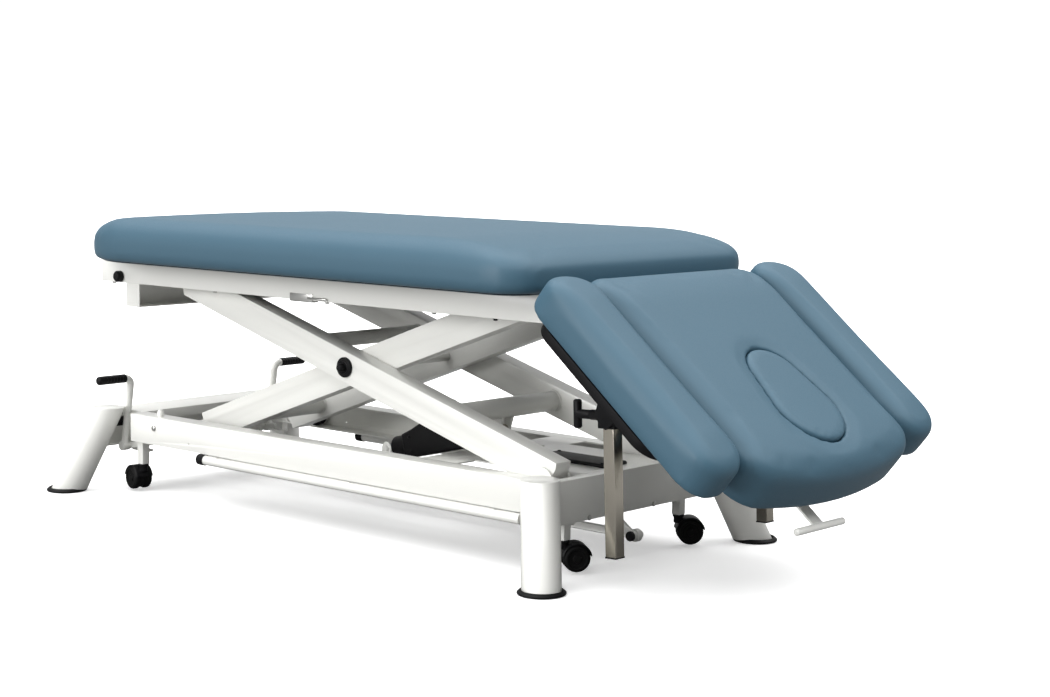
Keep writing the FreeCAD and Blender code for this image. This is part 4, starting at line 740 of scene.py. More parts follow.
@dataclass(frozen=True)
class OvalPlan:
    """Egg-shaped plan of the face opening and its plug, in millimetres."""

    x0: float = HINGE[0] + 251.0
    x1: float = HINGE[0] + 472.0
    foot_radius: float = 64.0
    head_radius: float = 80.0

    def outline(self, inset: float, count: int = 24) -> list:
        """Plan moved inwards.

        Args:
            inset: Distance in from the outer edge.
            count: Steps on each end.

        Returns:
            Plan points anticlockwise.
        """
        small, large = self.foot_radius - inset, self.head_radius - inset
        foot, head = self.x0 + self.foot_radius, self.x1 - self.head_radius
        lean = math.degrees(math.asin((large - small) / (head - foot)))
        points = []
        ends = ((head, large, -90 - lean, 90 + lean), (foot, small, 90 + lean, 270 - lean))
        for centre, radius, start, stop in ends:
            for step in range(count + 1):
                turn = math.radians(start + (stop - start) * step / count)
                points.append((centre + radius * math.cos(turn), radius * math.sin(turn)))
        return points

    def distance(self, places: np.ndarray) -> np.ndarray:
        """Distance of plan points in metres from the outline, negative inside.

        Args:
            places: Points in metres.

        Returns:
            One distance for each point.
        """
        foot, head = (at(x, 0, 0).x for x in (self.x0 + self.foot_radius, self.x1 - self.head_radius))
        best = np.full(len(places), 1e9)
        for share in np.linspace(0, 1, 33):
            radius = (self.foot_radius + (self.head_radius - self.foot_radius) * share) * MM
            reach = np.hypot(places[:, 0] - foot - (head - foot) * share, places[:, 1])
            best = np.minimum(best, reach - radius)
        return best


Plan = Union[BoxPlan, OvalPlan]
BED_PLAN = BoxPlan(-676.0, 650.0, -350.0, 350.0, 212.0, 78.0)


@dataclass
class Cushion:
    """One upholstered pad, drawn level in millimetres and then placed."""

    name: str
    node: str
    body: str
    plan: Plan
    z0: float
    z1: float
    top_round: float
    foot_round: float = 7.0
    bow: float = 0.0
    crown: float = 4.0
    foot_fall: float = 0.0
    head_fall: float = 0.0
    fall_length: float = 150.0
    voxel: float = 8.0
    ease: int = 4
    swell: float = 6.0
    placed: Optional[Matrix] = None
    opening: Optional[OvalPlan] = None
    bow_length: float = 160.0
    crown_length: float = 200.0
    held_height: float = 6.0
    held_margin: float = 12.0
    pressure: float = 4.0
    stiffness: float = 40.0
    bending: float = 6.0
    frames: int = 10
    overcut: float = 20.0
    flat_margin: float = 30.0

    def rings(self) -> list:
        """Inset and height of each ring from the underside to the top.

        Returns:
            The rings, upwards.
        """
        low, top = self.foot_round, self.top_round
        made = [(low + self.flat_margin, self.z0)]
        made += [(low * (1 - math.sin(t)), self.z0 + low * (1 - math.cos(t)))
                 for t in (math.radians(a) for a in range(0, 91, 30))]
        made += [(top * (1 - math.cos(t)), self.z1 - top * (1 - math.sin(t)))
                 for t in (math.radians(a) for a in range(0, 91, 10))]
        return made

    @staticmethod
    def shell(plan: Plan, rings: Sequence[tuple]) -> bmesh.types.BMesh:
        """Closed form through rings of a plan.

        Args:
            plan: Outline of the form.
            rings: Inset and height of each ring, upwards.

        Returns:
            The form in place, in metres.
        """
        form = bmesh.new()
        loops = [[form.verts.new(at(x, y, z)) for x, y in plan.outline(inset)] for inset, z in rings]
        bridge(form, loops)
        form.faces.new(list(reversed(loops[0])))
        form.faces.new(loops[-1])
        bmesh.ops.triangulate(form, faces=[f for f in form.faces if len(f.verts) > 4])
        bmesh.ops.recalc_face_normals(form, faces=form.faces)
        return form

    def shape(self, points: np.ndarray) -> np.ndarray:
        """Bow the head end, crown the top and let it fall towards the ends.

        Args:
            points: Vertex places of the level pad.

        Returns:
            The changed places.
        """
        x, y, z = points[:, 0].copy(), points[:, 1], points[:, 2].copy()
        z0, z1 = self.z0 * MM, self.z1 * MM
        height = np.clip((z - z0) / (z1 - z0), 0, 1)
        x0, x1 = points[:, 0].min(), points[:, 0].max()
        middle, half = (y.max() + y.min()) / 2, (y.max() - y.min()) / 2
        if self.bow:
            start = x1 - (self.bow + self.bow_length) * MM
            share = np.clip((x - start) / (x1 - start), 0, 1)
            x -= self.bow * MM * share * np.clip(np.abs(y - middle) / half, 0, 1) ** 2
        x1 = x.max()
        ends = np.minimum(x - x0, x1 - x)
        sides = half - np.abs(y - middle)
        along = np.clip(ends / (self.crown_length * MM), 0, 1) ** 0.5
        lift = self.crown * MM * np.sin(np.pi / 2 * np.clip(sides / half, 0, 1)) * along
        reach = self.fall_length * MM
        fall = (self.foot_fall * np.clip(1 - (x - x0) / reach, 0, 1) ** 2
                + self.head_fall * np.clip(1 - (x1 - x) / reach, 0, 1) ** 2)
        z += height * (lift - self.crown * MM) - height ** 2 * fall * MM
        return np.stack([x, y, z], axis=1)

    def build(self, shop: Workshop) -> None:
        """Make, inflate and fit the pad.

        Args:
            shop: The workshop that makes and fits pieces.
        """
        piece = shop.from_bmesh(self.name, self.shell(self.plan, self.rings()))
        if self.opening:
            self.pierce(shop, piece)
        remesh = piece.modifiers.new("even", "REMESH")
        remesh.mode = "VOXEL"
        remesh.voxel_size = self.voxel * MM
        shop.apply(piece)
        piece.data.vertices.foreach_set("co", self.shape(self.places(piece.data)).ravel())
        piece.data.update()
        self.inflate(piece)
        smooth = piece.modifiers.new("ease", "SMOOTH")
        smooth.factor = 0.5
        smooth.iterations = self.ease
        divide = piece.modifiers.new("finer", "SUBSURF")
        divide.levels = 1
        divide.render_levels = 1
        shop.apply(piece)
        if self.placed is not None:
            piece.data.transform(self.placed)
        piece.data.polygons.foreach_set("use_smooth", [True] * len(piece.data.polygons))
        shop.fit(piece, self.body, Slot.VINYL, [self.node])

    def pierce(self, shop: Workshop, piece: bpy.types.Object) -> None:
        """Cut the face opening through the pad.

        Args:
            shop: The workshop that makes and fits pieces.
            piece: The object to work on.
        """
        through = [(0.0, self.z0 - self.overcut), (0.0, self.z1 + self.overcut)]
        cutter = shop.from_bmesh("cutter", self.shell(self.opening, through))
        cut = piece.modifiers.new("cut", "BOOLEAN")
        cut.operation = "DIFFERENCE"
        cut.solver = "EXACT"
        cut.object = cutter
        shop.apply(piece)
        bpy.data.objects.remove(cutter)

    @staticmethod
    def places(mesh: bpy.types.Mesh) -> np.ndarray:
        """Vertex places of a mesh as rows.

        Args:
            mesh: The mesh to read.

        Returns:
            One row for each vertex.
        """
        flat = np.zeros(len(mesh.vertices) * 3)
        mesh.vertices.foreach_get("co", flat)
        return flat.reshape(-1, 3)

    def inflate(self, piece: bpy.types.Object) -> None:
        """Swell the cover over its foam in a short cloth run, held below and round the opening.

        Args:
            piece: The level pad.
        """
        before = self.places(piece.data)
        fixed = before[:, 2] < (self.z0 + self.held_height) * MM
        if self.opening:
            fixed |= self.opening.distance(before) < self.held_margin * MM
        held = piece.vertex_groups.new(name="held")
        held.add([int(i) for i in np.nonzero(fixed)[0]], 1.0, "REPLACE")
        cloth = piece.modifiers.new("cover", "CLOTH")
        cloth.settings.use_pressure = True
        cloth.settings.uniform_pressure_force = self.pressure
        cloth.settings.effector_weights.gravity = 0.0
        cloth.settings.tension_stiffness = self.stiffness
        cloth.settings.compression_stiffness = self.stiffness
        cloth.settings.bending_stiffness = self.bending
        cloth.settings.vertex_group_mass = "held"
        for step in range(self.frames):
            bpy.context.scene.frame_set(step + 1)
        graph = bpy.context.evaluated_depsgraph_get()
        moved = bpy.data.meshes.new_from_object(piece.evaluated_get(graph))
        shift = self.places(moved) - before
        piece.modifiers.clear()
        bpy.context.scene.frame_set(1)
        size = np.linalg.norm(shift, axis=1, keepdims=True)
        capped = shift * np.minimum(1.0, self.swell * MM / np.maximum(size, 1e-9))
        piece.data.vertices.foreach_set("co", (before + capped).ravel())
        piece.data.update()
        bpy.data.meshes.remove(moved)
        piece.vertex_groups.clear()
        LOG.info("%s swelled up to %.1f mm", piece.name, float(size.max()) / MM)


@dataclass
class Upholstery:
    """All pads of the table."""

    head_x: tuple = (655.0, 1170.0)
    head_half: float = 238.0
    arm_x: tuple = (653.0, 1123.0)
    arm_y: tuple = (242.0, 350.0)
    plug_rise: float = 3.0
    hem_edge: float = 22.0
    hem_thickness: float = 0.9

    def pads(self) -> list:
        """Every pad, from the foot end on.

        Returns:
            The pads.
        """
        made = [
            Cushion("bed_pad", "bed_cushion", "bed_frame", BED_PLAN, RAIL_TOP + 1.0, CUSHION_TOP, 46.0, 14.0,
                    foot_fall=34.0, head_fall=26.0, fall_length=220.0, voxel=10.0, ease=8, swell=2.5),
            Cushion("head_pad", "head_cushion", "head_section",
                    BoxPlan(*self.head_x, -self.head_half, self.head_half, 52.0, 52.0), HEAD_BOTTOM + 1.0,
                    CUSHION_TOP, 32.0, bow=31.0, foot_fall=20.0, head_fall=8.0, fall_length=110.0, voxel=6.0,
                    ease=6, swell=2.5, placed=HEAD_TILT, opening=OvalPlan()),
            Cushion("plug_pad", "face_plug", "face_plug", OvalPlan(*self.plug_ends()), HEAD_BOARD_TOP + 0.3,
                    CUSHION_TOP + self.plug_rise, 7.0, 3.0, crown=2.0, voxel=4.0, ease=2, swell=1.0,
                    placed=HEAD_TILT, flat_margin=8.0),
        ]
        for side in Side:
            y0, y1 = sorted(side.value * y for y in self.arm_y)
            word = side.word
            made.append(Cushion("arm_pad_" + word, "arm_cushion_" + word, "arm_support_" + word,
                                BoxPlan(*self.arm_x, y0, y1, 50.0, 50.0), HEAD_BOARD_TOP, CUSHION_TOP, 24.0,
                                crown=2.0, foot_fall=18.0, head_fall=8.0, fall_length=80.0, voxel=6.0, ease=5,
                                swell=2.0, placed=HEAD_TILT))
        return made

    @staticmethod
    def plug_ends(gap: float = 0.8) -> tuple:
        """Sizes of the plug, a little smaller than its opening."""
        opening = OvalPlan()
        return (opening.x0 + gap, opening.x1 - gap, opening.foot_radius - gap, opening.head_radius - gap)

    def build(self, shop: Workshop) -> None:
        """Make every pad and the turned-over cover under the bed board.

        Args:
            shop: The workshop that makes and fits pieces.
        """
        for pad in self.pads():
            pad.build(shop)
        self.hem(shop)

    def hem(self, shop: Workshop) -> None:
        """Strip of the cover that is turned over the edge of the bed board.

        Args:
            shop: The workshop that makes and fits pieces.
        """
        form = bmesh.new()
        low = RAIL_TOP - self.hem_thickness
        rings = ((self.hem_edge, RAIL_TOP), (self.hem_edge + 2.0, low), (self.hem_edge + 28.0, low),
                 (self.hem_edge + 30.0, RAIL_TOP))
        loops = [[form.verts.new(at(x, y, z)) for x, y in BED_PLAN.outline(inset)] for inset, z in rings]
        bridge(form, loops + loops[:1])
        shop.hard("bed_hem", form, "bed_frame", Slot.VINYL)


class Fasteners:
    """Screw and bolt heads of all bodies, set by one geometry tree."""

    def __init__(self, shop: Workshop) -> None:
        """Build the tree of a chamfered head on a washer.

        Args:
            shop: The workshop that makes and fits pieces.
        """
        self.shop = shop
        self.sets = {}
        made = Recipe("fastener_heads")
        radius = made.size("Head Radius", 0.005)
        height = made.size("Head Height", 0.004)
        sides = made.size("Sides", 6, "NodeSocketInt")
        flat = {"Side Segments": 1, "Fill Segments": 1}
        washer = made.node("GeometryNodeMeshCylinder", {}, {"Vertices": 24, "Radius": radius * 1.35,
                                                             "Depth": height * 0.3, **flat})["Mesh"]
        head = made.node("GeometryNodeMeshCylinder", {}, {"Vertices": sides, "Radius": radius,
                                                           "Depth": height, **flat})["Mesh"]
        cap = made.node("GeometryNodeMeshCone", {}, {"Vertices": sides, "Radius Bottom": radius,
                                                      "Radius Top": radius * 0.8, "Depth": height * 0.25,
                                                      **flat})["Mesh"]
        joined = made.node("GeometryNodeJoinGeometry").node
        for mesh, lift in ((washer, height * 0.15), (head, height * 0.5), (cap, height)):
            place = made.node("ShaderNodeCombineXYZ", {}, {"Z": lift})["Vector"]
            moved = made.node("GeometryNodeTransform", {}, {"Geometry": mesh, "Translation": place})
            made.tree.links.new(moved["Geometry"].socket, joined.inputs["Geometry"])
        turn = made.node("FunctionNodeAlignRotationToVector", {"axis": "Z"},
                         {"Vector": made.attribute("facing", "FLOAT_VECTOR")})["Rotation"]
        placed = made.node("GeometryNodeInstanceOnPoints", {}, {
            "Points": made.geometry, "Instance": Value(made, joined.outputs["Geometry"]), "Rotation": turn})
        made.close_instances(placed["Instances"], shop.finishes.of(Slot.ZINC))
        self.recipe = made

    def add(self, body: str, head: Head, radius: float, height: float, place: Vector, facing: Vector,
            slot: Slot = Slot.ZINC) -> None:
        """Note one fastener.

        Args:
            body: The body that it sits on.
            head: Shape of its head.
            radius: Head radius in millimetres.
            height: Head height in millimetres.
            place: Point of its seat.
            facing: Direction away from the seat.
            slot: The record slot of its finish.
        """
        self.sets.setdefault((body, head, radius, height, slot), []).append((place, facing))

    def build(self) -> None:
        """Make one mesh for each body and kind of head."""
        for number, ((body, head, radius, height, slot), points) in enumerate(sorted(
                self.sets.items(), key=lambda item: (item[0][0], item[0][1].value, *item[0][2:4]))):
            mesh = bpy.data.meshes.new("seats")
            mesh.from_pydata([place for place, _ in points], [], [])
            facing = mesh.attributes.new("facing", "FLOAT_VECTOR", "POINT")
            facing.data.foreach_set("vector", [c for _, direction in points for c in direction])
            piece = self.shop.object_of(f"fasteners_{body}_{number}", mesh)
            self.recipe.put_on(piece, {"Head Radius": radius * MM, "Head Height": height * MM,
                                       "Sides": head.value})
            self.shop.apply(piece)
            self.shop.fit(piece, body, slot)


@dataclass
class Hardware:
    """Positions of the screws and bolts that are in view."""

    control_box: tuple = (505.0, 75.0, 26.0, 179.0)
    beam_screws: tuple = (-116.0, 71.0)
    motor_screws: tuple = ((84.0, -14.0), (150.0, 40.0), (226.0, 36.0), (246.0, -12.0), (84.0, 16.0))
    motor_half: float = 29.8
    bar_y: float = 120.0
    bar_bottom: float = HEAD_BOTTOM - 20.0
    bar_screws: tuple = (60.0, 235.0, 400.0)
    rail_screws: tuple = (-640.0, -300.0, 40.0, 330.0)
    rail_under: tuple = (216.0, 453.47)

    def build(self, shop: Workshop) -> None:
        """Note every fastener and make them.

        Args:
            shop: The workshop that makes and fits pieces.
        """
        made = Fasteners(shop)
        self.base(made)
        self.top(made)
        made.build()

    def base(self, made: Fasteners) -> None:
        """Screws of the beams, the control box and the actuator.

        Args:
            made: The fasteners to add to.
        """
        x, half_x, half_y, z = self.control_box
        for y in self.beam_screws:
            made.add("base", Head.ROUND, 4.0, 2.0, at(626.0, y, 97.0), FRONT)
        for sx in (-1, 1):
            for sy in (-1, 1):
                made.add("base", Head.ROUND, 3.2, 1.4, at(x + sx * half_x, sy * half_y, z), UP, Slot.PLASTIC)
        made.add("base", Head.HEX, 4.5, 3.6, at(403.0, 0.0, 180.5), FRONT)
        for along, across in self.motor_screws:
            for side in Side:
                place = side.place(MOTOR_PIVOT[0] + along, self.motor_half, MOTOR_PIVOT[1] + across)
                made.add("actuator_housing", Head.ROUND, 3.0, 1.6, MOTOR_TURN @ place, side.out, Slot.PLASTIC)

    def top(self, made: Fasteners) -> None:
        """Screws under the head board and the bed rails.

        Args:
            made: The fasteners to add to.
        """
        tilt = HEAD_TILT.to_3x3()
        for side in Side:
            for s in self.bar_screws:
                place = side.place(HINGE[0] + s, self.bar_y, self.bar_bottom)
                made.add("head_section", Head.HEX, 5.0, 4.0, HEAD_TILT @ place, tilt @ DOWN)
            for x in self.rail_screws:
                made.add("bed_frame", Head.HEX, 4.5, 3.6, side.place(x, *self.rail_under), DOWN)
        made.add("bed_frame", Head.ROUND, 4.0, 3.0, at(490.0, -222.0, 453.2), DOWN, Slot.PLASTIC)


@dataclass(frozen=True)
class Staples:
    """Row of staples along the turned-over cover, set by a geometry tree."""

    pitch: float = 32.0
    length: float = 10.0
    thickness: float = 0.7
    inset: float = 37.0
    drop: float = 1.1

    def build(self, shop: Workshop) -> None:
        """Set the staples under the bed board.

        Args:
            shop: The workshop that makes and fits pieces.
        """
        made = Recipe("staple_row")
        pitch = made.size("Pitch", 0.032)
        length = made.size("Staple Length", 0.010)
        wire = made.size("Wire", 0.0007)
        spaced = made.spaced(pitch)
        extent = made.node("ShaderNodeCombineXYZ", {}, {"X": length, "Y": wire * 1.6, "Z": wire})["Vector"]
        staple = made.node("GeometryNodeMeshCube", {}, {"Size": extent})["Mesh"]
        tangent = made.node("GeometryNodeInputTangent")["Tangent"]
        turn = made.node("FunctionNodeAxesToRotation", {"primary_axis": "Z", "secondary_axis": "X"},
                         {"Primary Axis": (0.0, 0.0, 1.0), "Secondary Axis": tangent})["Rotation"]
        skew = made.node("FunctionNodeRandomValue", {"data_type": "FLOAT"}, {2: -0.22, 3: 0.22, 8: 5})[1]
        placed = made.node("GeometryNodeInstanceOnPoints", {}, {"Points": spaced, "Instance": staple,
                                                                 "Rotation": turn})["Instances"]
        askew = made.node("ShaderNodeCombineXYZ", {}, {"Z": skew})["Vector"]
        skewed = made.node("GeometryNodeRotateInstances", {}, {"Instances": placed, "Rotation": askew})
        made.close_instances(skewed["Instances"], shop.finishes.of(Slot.ZINC))
        form = bmesh.new()
        wire_ring(form, [at(x, y, RAIL_TOP - self.drop) for x, y in BED_PLAN.outline(self.inset)])
        bmesh.ops.remove_doubles(form, verts=form.verts, dist=1e-5)
        piece = shop.from_bmesh("bed_staples", form)
        made.put_on(piece, {"Pitch": self.pitch * MM, "Staple Length": self.length * MM,
                            "Wire": self.thickness * MM})
        shop.apply(piece)
        shop.fit(piece, "bed_frame", Slot.ZINC)


@dataclass(frozen=True)
class WeldBeads:
    """Weld beads round the ends of the cross tubes, set by a geometry tree."""

    bead: float = 2.4
    pitch: float = 2.6
    lower: tuple = (263.0, -15.8, 20.0, 144.0)
    upper: tuple = (135.0, 164.2, 15.0, 144.0)
    inner: tuple = (412.0, 199.72, 20.0, 100.0)
    sunk: float = 0.6
    points: int = 48

    def build(self, shop: Workshop) -> None:
        """Lay the beads on both scissor bodies.

        Args:
            shop: The workshop that makes and fits pieces.
        """
        made = Recipe("weld_bead")
        radius = made.size("Bead Radius", 0.0024)
        pitch = made.size("Pitch", 0.0026)
        spaced = made.spaced(pitch)
        drop = made.node("GeometryNodeMeshIcoSphere", {}, {"Radius": radius, "Subdivisions": 2})["Mesh"]
        swell = made.node("FunctionNodeRandomValue", {"data_type": "FLOAT"}, {2: 0.86, 3: 1.12, 8: 11})[1]
        placed = made.node("GeometryNodeInstanceOnPoints", {}, {"Points": spaced, "Instance": drop,
                                                                 "Scale": swell})["Instances"]
        made.close_instances(placed, shop.finishes.of(Slot.PAINT))
        for body, rings in (("outer_arms", (self.lower, self.upper)), ("inner_arms", (self.inner,))):
            form = bmesh.new()
            for reach, degrees, tube, y in rings:
                turn = math.radians(degrees)
                x, z = CENTRE[0] + reach * math.cos(turn), CENTRE[1] + reach * math.sin(turn)
                for side in Side:
                    seat = standing(side.place(x, y - self.sunk, z), side.out)
                    turns = (2 * math.pi * i / self.points for i in range(self.points))
                    wire_ring(form, [seat @ (Vector((math.cos(a), math.sin(a), 0.0)) * tube * MM)
                                     for a in turns])
            piece = shop.from_bmesh("weld_beads_" + body, form)
            made.put_on(piece, {"Bead Radius": self.bead * MM, "Pitch": self.pitch * MM})
            shop.creases.put_on(piece)
            shop.apply(piece)
            shop.fit(piece, body, Slot.PAINT)


@dataclass
class Castors:
    """Twin wheels of the four castors with rounded treads and dished hubs."""

    offset: float = 22.0
    height: float = 30.0
    inner: float = 5.0
    stems: tuple = (("head_near", 610.0, -168.0, 52.0), ("head_far", 610.0, 168.0, 46.0),
                    ("foot_near", -557.0, -206.0, 172.0), ("foot_far", -557.0, 206.0, 200.0))
    profile: tuple = ((0.0, 0.0), (21.0, 0.0), (23.6, 0.9), (24.7, 3.0), (25.0, 6.5), (24.9, 10.0),
                      (24.0, 13.0), (21.6, 15.2), (18.6, 16.0), (17.2, 15.4), (16.4, 13.6), (8.4, 12.8),
                      (7.4, 13.8), (6.6, 15.6), (0.0, 16.2))

    def build(self, shop: Workshop) -> None:
        """Make the wheels of each castor.

        Args:
            shop: The workshop that makes and fits pieces.
        """
        for name, x, y, heading in self.stems:
            form = bmesh.new()
            turn = Matrix.Translation(at(x, y, 0.0)) @ Matrix.Rotation(math.radians(heading), 4, "Z")
            for side in Side:
                hub = Vector((self.offset, side.value * self.inner, self.height)) * MM
                shop.turned(form, self.profile, turn @ standing(hub, side.out), 56)
            shop.hard("castor_tread_" + name, form, "castor_wheel_" + name, Slot.RUBBER,
                      ["castor_wheels_" + name])


@dataclass
class BaseTrim:
    """Foot rings, plugs and bolts of the base."""

    ring_radius: float = 43.0
    ring: tuple = ((0.0, 0.0), (38.5, 0.0), (41.6, 0.8), (43.0, 2.6), (42.9, 4.4), (41.6, 5.8), (39.4, 7.6),
                   (38.0, 8.8), (36.9, 9.0), (36.0, 8.4), (35.4, 3.9), (0.0, 3.9))
    plug_place: tuple = (-498.0, 205.0, 172.0)
    bolt_place: tuple = (-493.0, 226.0, 148.0)
    pin_place: tuple = (575.0, 134.5, 165.0)
    plug: tuple = ((0.0, -1.5), (7.2, -1.5), (7.2, 6.5), (7.0, 9.0), (6.0, 11.4), (4.0, 13.2), (2.0, 13.9),
                   (0.0, 14.1))
    bolt: tuple = ((0.0, 0.0), (6.2, 0.0), (6.2, 1.6), (5.4, 3.2), (3.6, 4.2), (2.0, 4.5), (1.8, 3.4),
                   (0.0, 3.3))
    pin: tuple = ((0.0, 0.0), (12.0, 0.0), (12.0, 3.5), (8.0, 3.5), (8.0, 51.0), (0.0, 51.0))

    def build(self, shop: Workshop) -> None:
        """Make the rings, the domed plugs, the bolt heads and the arm pins.

        Args:
            shop: The workshop that makes and fits pieces.
        """
        low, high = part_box("foot_rings")
        rings, plugs, bolts = bmesh.new(), bmesh.new(), bmesh.new()
        for side in Side:
            y = (low.y if side is Side.NEAR else high.y) - side.value * self.ring_radius * MM
            for x in (low.x + self.ring_radius * MM, high.x - self.ring_radius * MM):
                shop.turned(rings, self.ring, Matrix.Translation((x, y, low.z)), 64)
            shop.turned(plugs, self.plug, standing(side.place(*self.plug_place), UP))
            shop.turned(bolts, self.bolt, standing(side.place(*self.bolt_place), side.out))
            shop.turned(bolts, self.pin, standing(side.place(*self.pin_place), side.out))
        shop.hard("leg_foot_rings", rings, "base", Slot.PLASTIC, ["foot_rings"])
        shop.hard("beam_plugs", plugs, "base", Slot.PAINT, ["base_fasteners"])
        shop.hard("beam_bolts", bolts, "base", Slot.ZINC, ["base_fasteners"])


@dataclass
class ScissorTrim:
    """Rings on the pivot caps and the collar of the actuator."""

    cap_face: float = 190.0
    barrel_end: float = 282.0
    ring: tuple = ((11.8, -0.2), (15.6, -0.2), (15.2, 0.9), (14.2, 1.4), (13.0, 1.4), (12.2, 0.9))
    collar: tuple = ((15.2, -3.0), (22.6, -6.0), (23.4, -4.6), (23.4, 1.6), (22.0, 3.4), (18.0, 4.6),
                     (15.6, 4.6), (14.8, 3.6))

    def build(self, shop: Workshop) -> None:
        """Make the rings and the collar.

        Args:
            shop: The workshop that makes and fits pieces.
        """
        rings, collar = bmesh.new(), bmesh.new()
        for side in Side:
            place = side.place(CENTRE[0], self.cap_face, CENTRE[1])
            shop.turned(rings, self.ring, standing(place, side.out), 48, ring=True)
        shop.hard("pivot_cap_rings", rings, "outer_arms", Slot.PLASTIC)
        seat = MOTOR_TURN @ standing(at(MOTOR_PIVOT[0] + self.barrel_end, 0.0, MOTOR_PIVOT[1]), FRONT)
        shop.turned(collar, self.collar, seat, 48, ring=True)
        shop.hard("actuator_collar", collar, "actuator_housing", Slot.PLASTIC)


@dataclass
class LiftTrim:
    """Grips of the hand levers and the bush of the link rod."""

    grip_start: float = 221.0
    grip_length: float = 72.0
    grip_radius: float = 9.5
    grip_place: tuple = (-600.0, 245.0)
    ribs: int = 6
    rib_start: float = 9.0
    rib_pitch: float = 8.0
    crank_pin: tuple = (641.0, 50.0)
    bush: tuple = ((0.0, 0.0), (8.6, 0.0), (9.2, 0.8), (9.2, 6.2), (8.4, 7.0), (0.0, 7.0))
    cap: tuple = ((0.0, -0.4), (8.0, -0.4), (8.0, 3.0), (6.6, 5.4), (3.4, 6.6), (0.0, 6.9))

    def grip(self) -> list:
        """Profile of a grip with shallow grooves and a rounded end.

        Returns:
            Radius and height of each point.
        """
        radius, length = self.grip_radius, self.grip_length
        points = [(8.05, -0.1), (radius - 0.8, -0.1), (radius, 0.9)]
        for number in range(self.ribs):
            z = self.rib_start + number * self.rib_pitch
            points += [(radius, z - 1.6), (radius - 0.7, z - 0.8), (radius - 0.7, z + 0.8), (radius, z + 1.6)]
        return points + [(radius, length - 5.0), (radius - 1.0, length - 2.2), (radius - 3.2, length - 0.5),
                         (0.0, length)]

    def build(self, shop: Workshop) -> None:
        """Make the grips, the bush and its cap.

        Args:
            shop: The workshop that makes and fits pieces.
        """
        grips, bush, cap = bmesh.new(), bmesh.new(), bmesh.new()
        profile = [(0.0, -0.1)] + self.grip()
        x, z = self.grip_place
        for side in Side:
            seat = standing(side.place(x, self.grip_start, z), side.out)
            shop.turned(grips, profile, seat, 36)
        shop.hard("lever_hand_grips", grips, "castor_lever", Slot.PLASTIC, ["lever_grips"])
        x, z = self.crank_pin
        shop.turned(bush, self.bush, standing(at(x, -12.6, z), Side.NEAR.out))
        shop.hard("link_rod_bush", bush, "head_lift_shaft", Slot.PLASTIC)
        shop.turned(cap, self.cap, standing(at(x, 9.0, z), Side.FAR.out))
        shop.hard("link_rod_cap", cap, "head_lift_shaft", Slot.PAINT)


@dataclass
class BedTrim:
    """Plugs of the arm posts and the catch under the near rail."""

    post_half: float = 12.4
    post_length: float = 322.0
    catch_y: float = -228.0
    catch_x: tuple = (-54.0, 12.0)
    catch_rod: tuple = ((0.0, 0.0), (2.4, 0.0), (2.4, 54.0), (1.8, 55.0), (0.0, 55.0))

    def build(self, shop: Workshop) -> None:
        """Make the plugs and the catch.

        Args:
            shop: The workshop that makes and fits pieces.
        """
        plugs, catch = bmesh.new(), bmesh.new()
        x, y, z = POST_TOP
        half = self.post_half
        for side in Side:
            low = at(x - half, side.value * y - half, z - self.post_length - 2.4)
            high = at(x + half, side.value * y + half, z - self.post_length + 0.4)
            shop.block(plugs, low, high, POST_TURN)
        shop.hard("post_foot_plugs", plugs, "head_section", Slot.PLASTIC, ease=0.8)
        start, end = self.catch_x
        face = self.catch_y - 1.6
        shop.block(catch, at(start, face, 451.0), at(end, self.catch_y + 0.3, 466.0))
        shop.block(catch, at(start, face, 450.0), at(end, self.catch_y + 14.0, 452.0))
        shop.turned(catch, self.catch_rod, standing(at(0.0, self.catch_y - 3.2, 458.5), FRONT), 20)
        shop.hard("rail_catch", catch, "bed_frame", Slot.ZINC, ease=0.3)


@dataclass(frozen=True)
class Dressing:
    """Finishes and eased edges of the nodes that stay in view, in millimetres and degrees."""

    usual: float = 0.7
    wide: tuple = (("side_beams", 1.2), ("head_cross_beam", 1.2), ("base_cross_members", 1.0),
                   ("outer_arms", 1.6), ("inner_arms", 1.6), ("bed_rails", 1.2), ("control_box", 1.5),
                   ("actuator_housing", 1.5))
    join: float = 0.02
    flat: float = 0.5

    def dress(self, shop: Workshop, record: dict) -> None:
        """Assign a finish to every node and round its edges.

        Args:
            shop: The workshop with the finishes.
            record: The record, which names each node's slot.
        """
        slots = {entry["node"]: entry["material_slot"] for entry in record["subparts"]}
        widths = dict(self.wide)
        plain = Recipe("plain_normals")
        plain.close(plain.node("GeometryNodeRemoveAttribute", {}, {"Geometry": plain.geometry,
                                                                   "Name": "custom_normal"})["Geometry"])
        for name, node in frame["nodes"].items():
            finish = shop.finishes.of(Slot(slots[name]))
            node.data.materials.clear()
            node.data.materials.append(finish)
            if node.hide_render:
                continue
            plain.put_on(node)
            weld = node.modifiers.new("weld", "WELD")
            weld.merge_threshold = self.join * MM
            planar = node.modifiers.new("planar", "DECIMATE")
            planar.decimate_type = "DISSOLVE"
            planar.angle_limit = math.radians(self.flat)
            shop.eased(node, widths.get(name, self.usual))
            shop.creases.put_on(node)


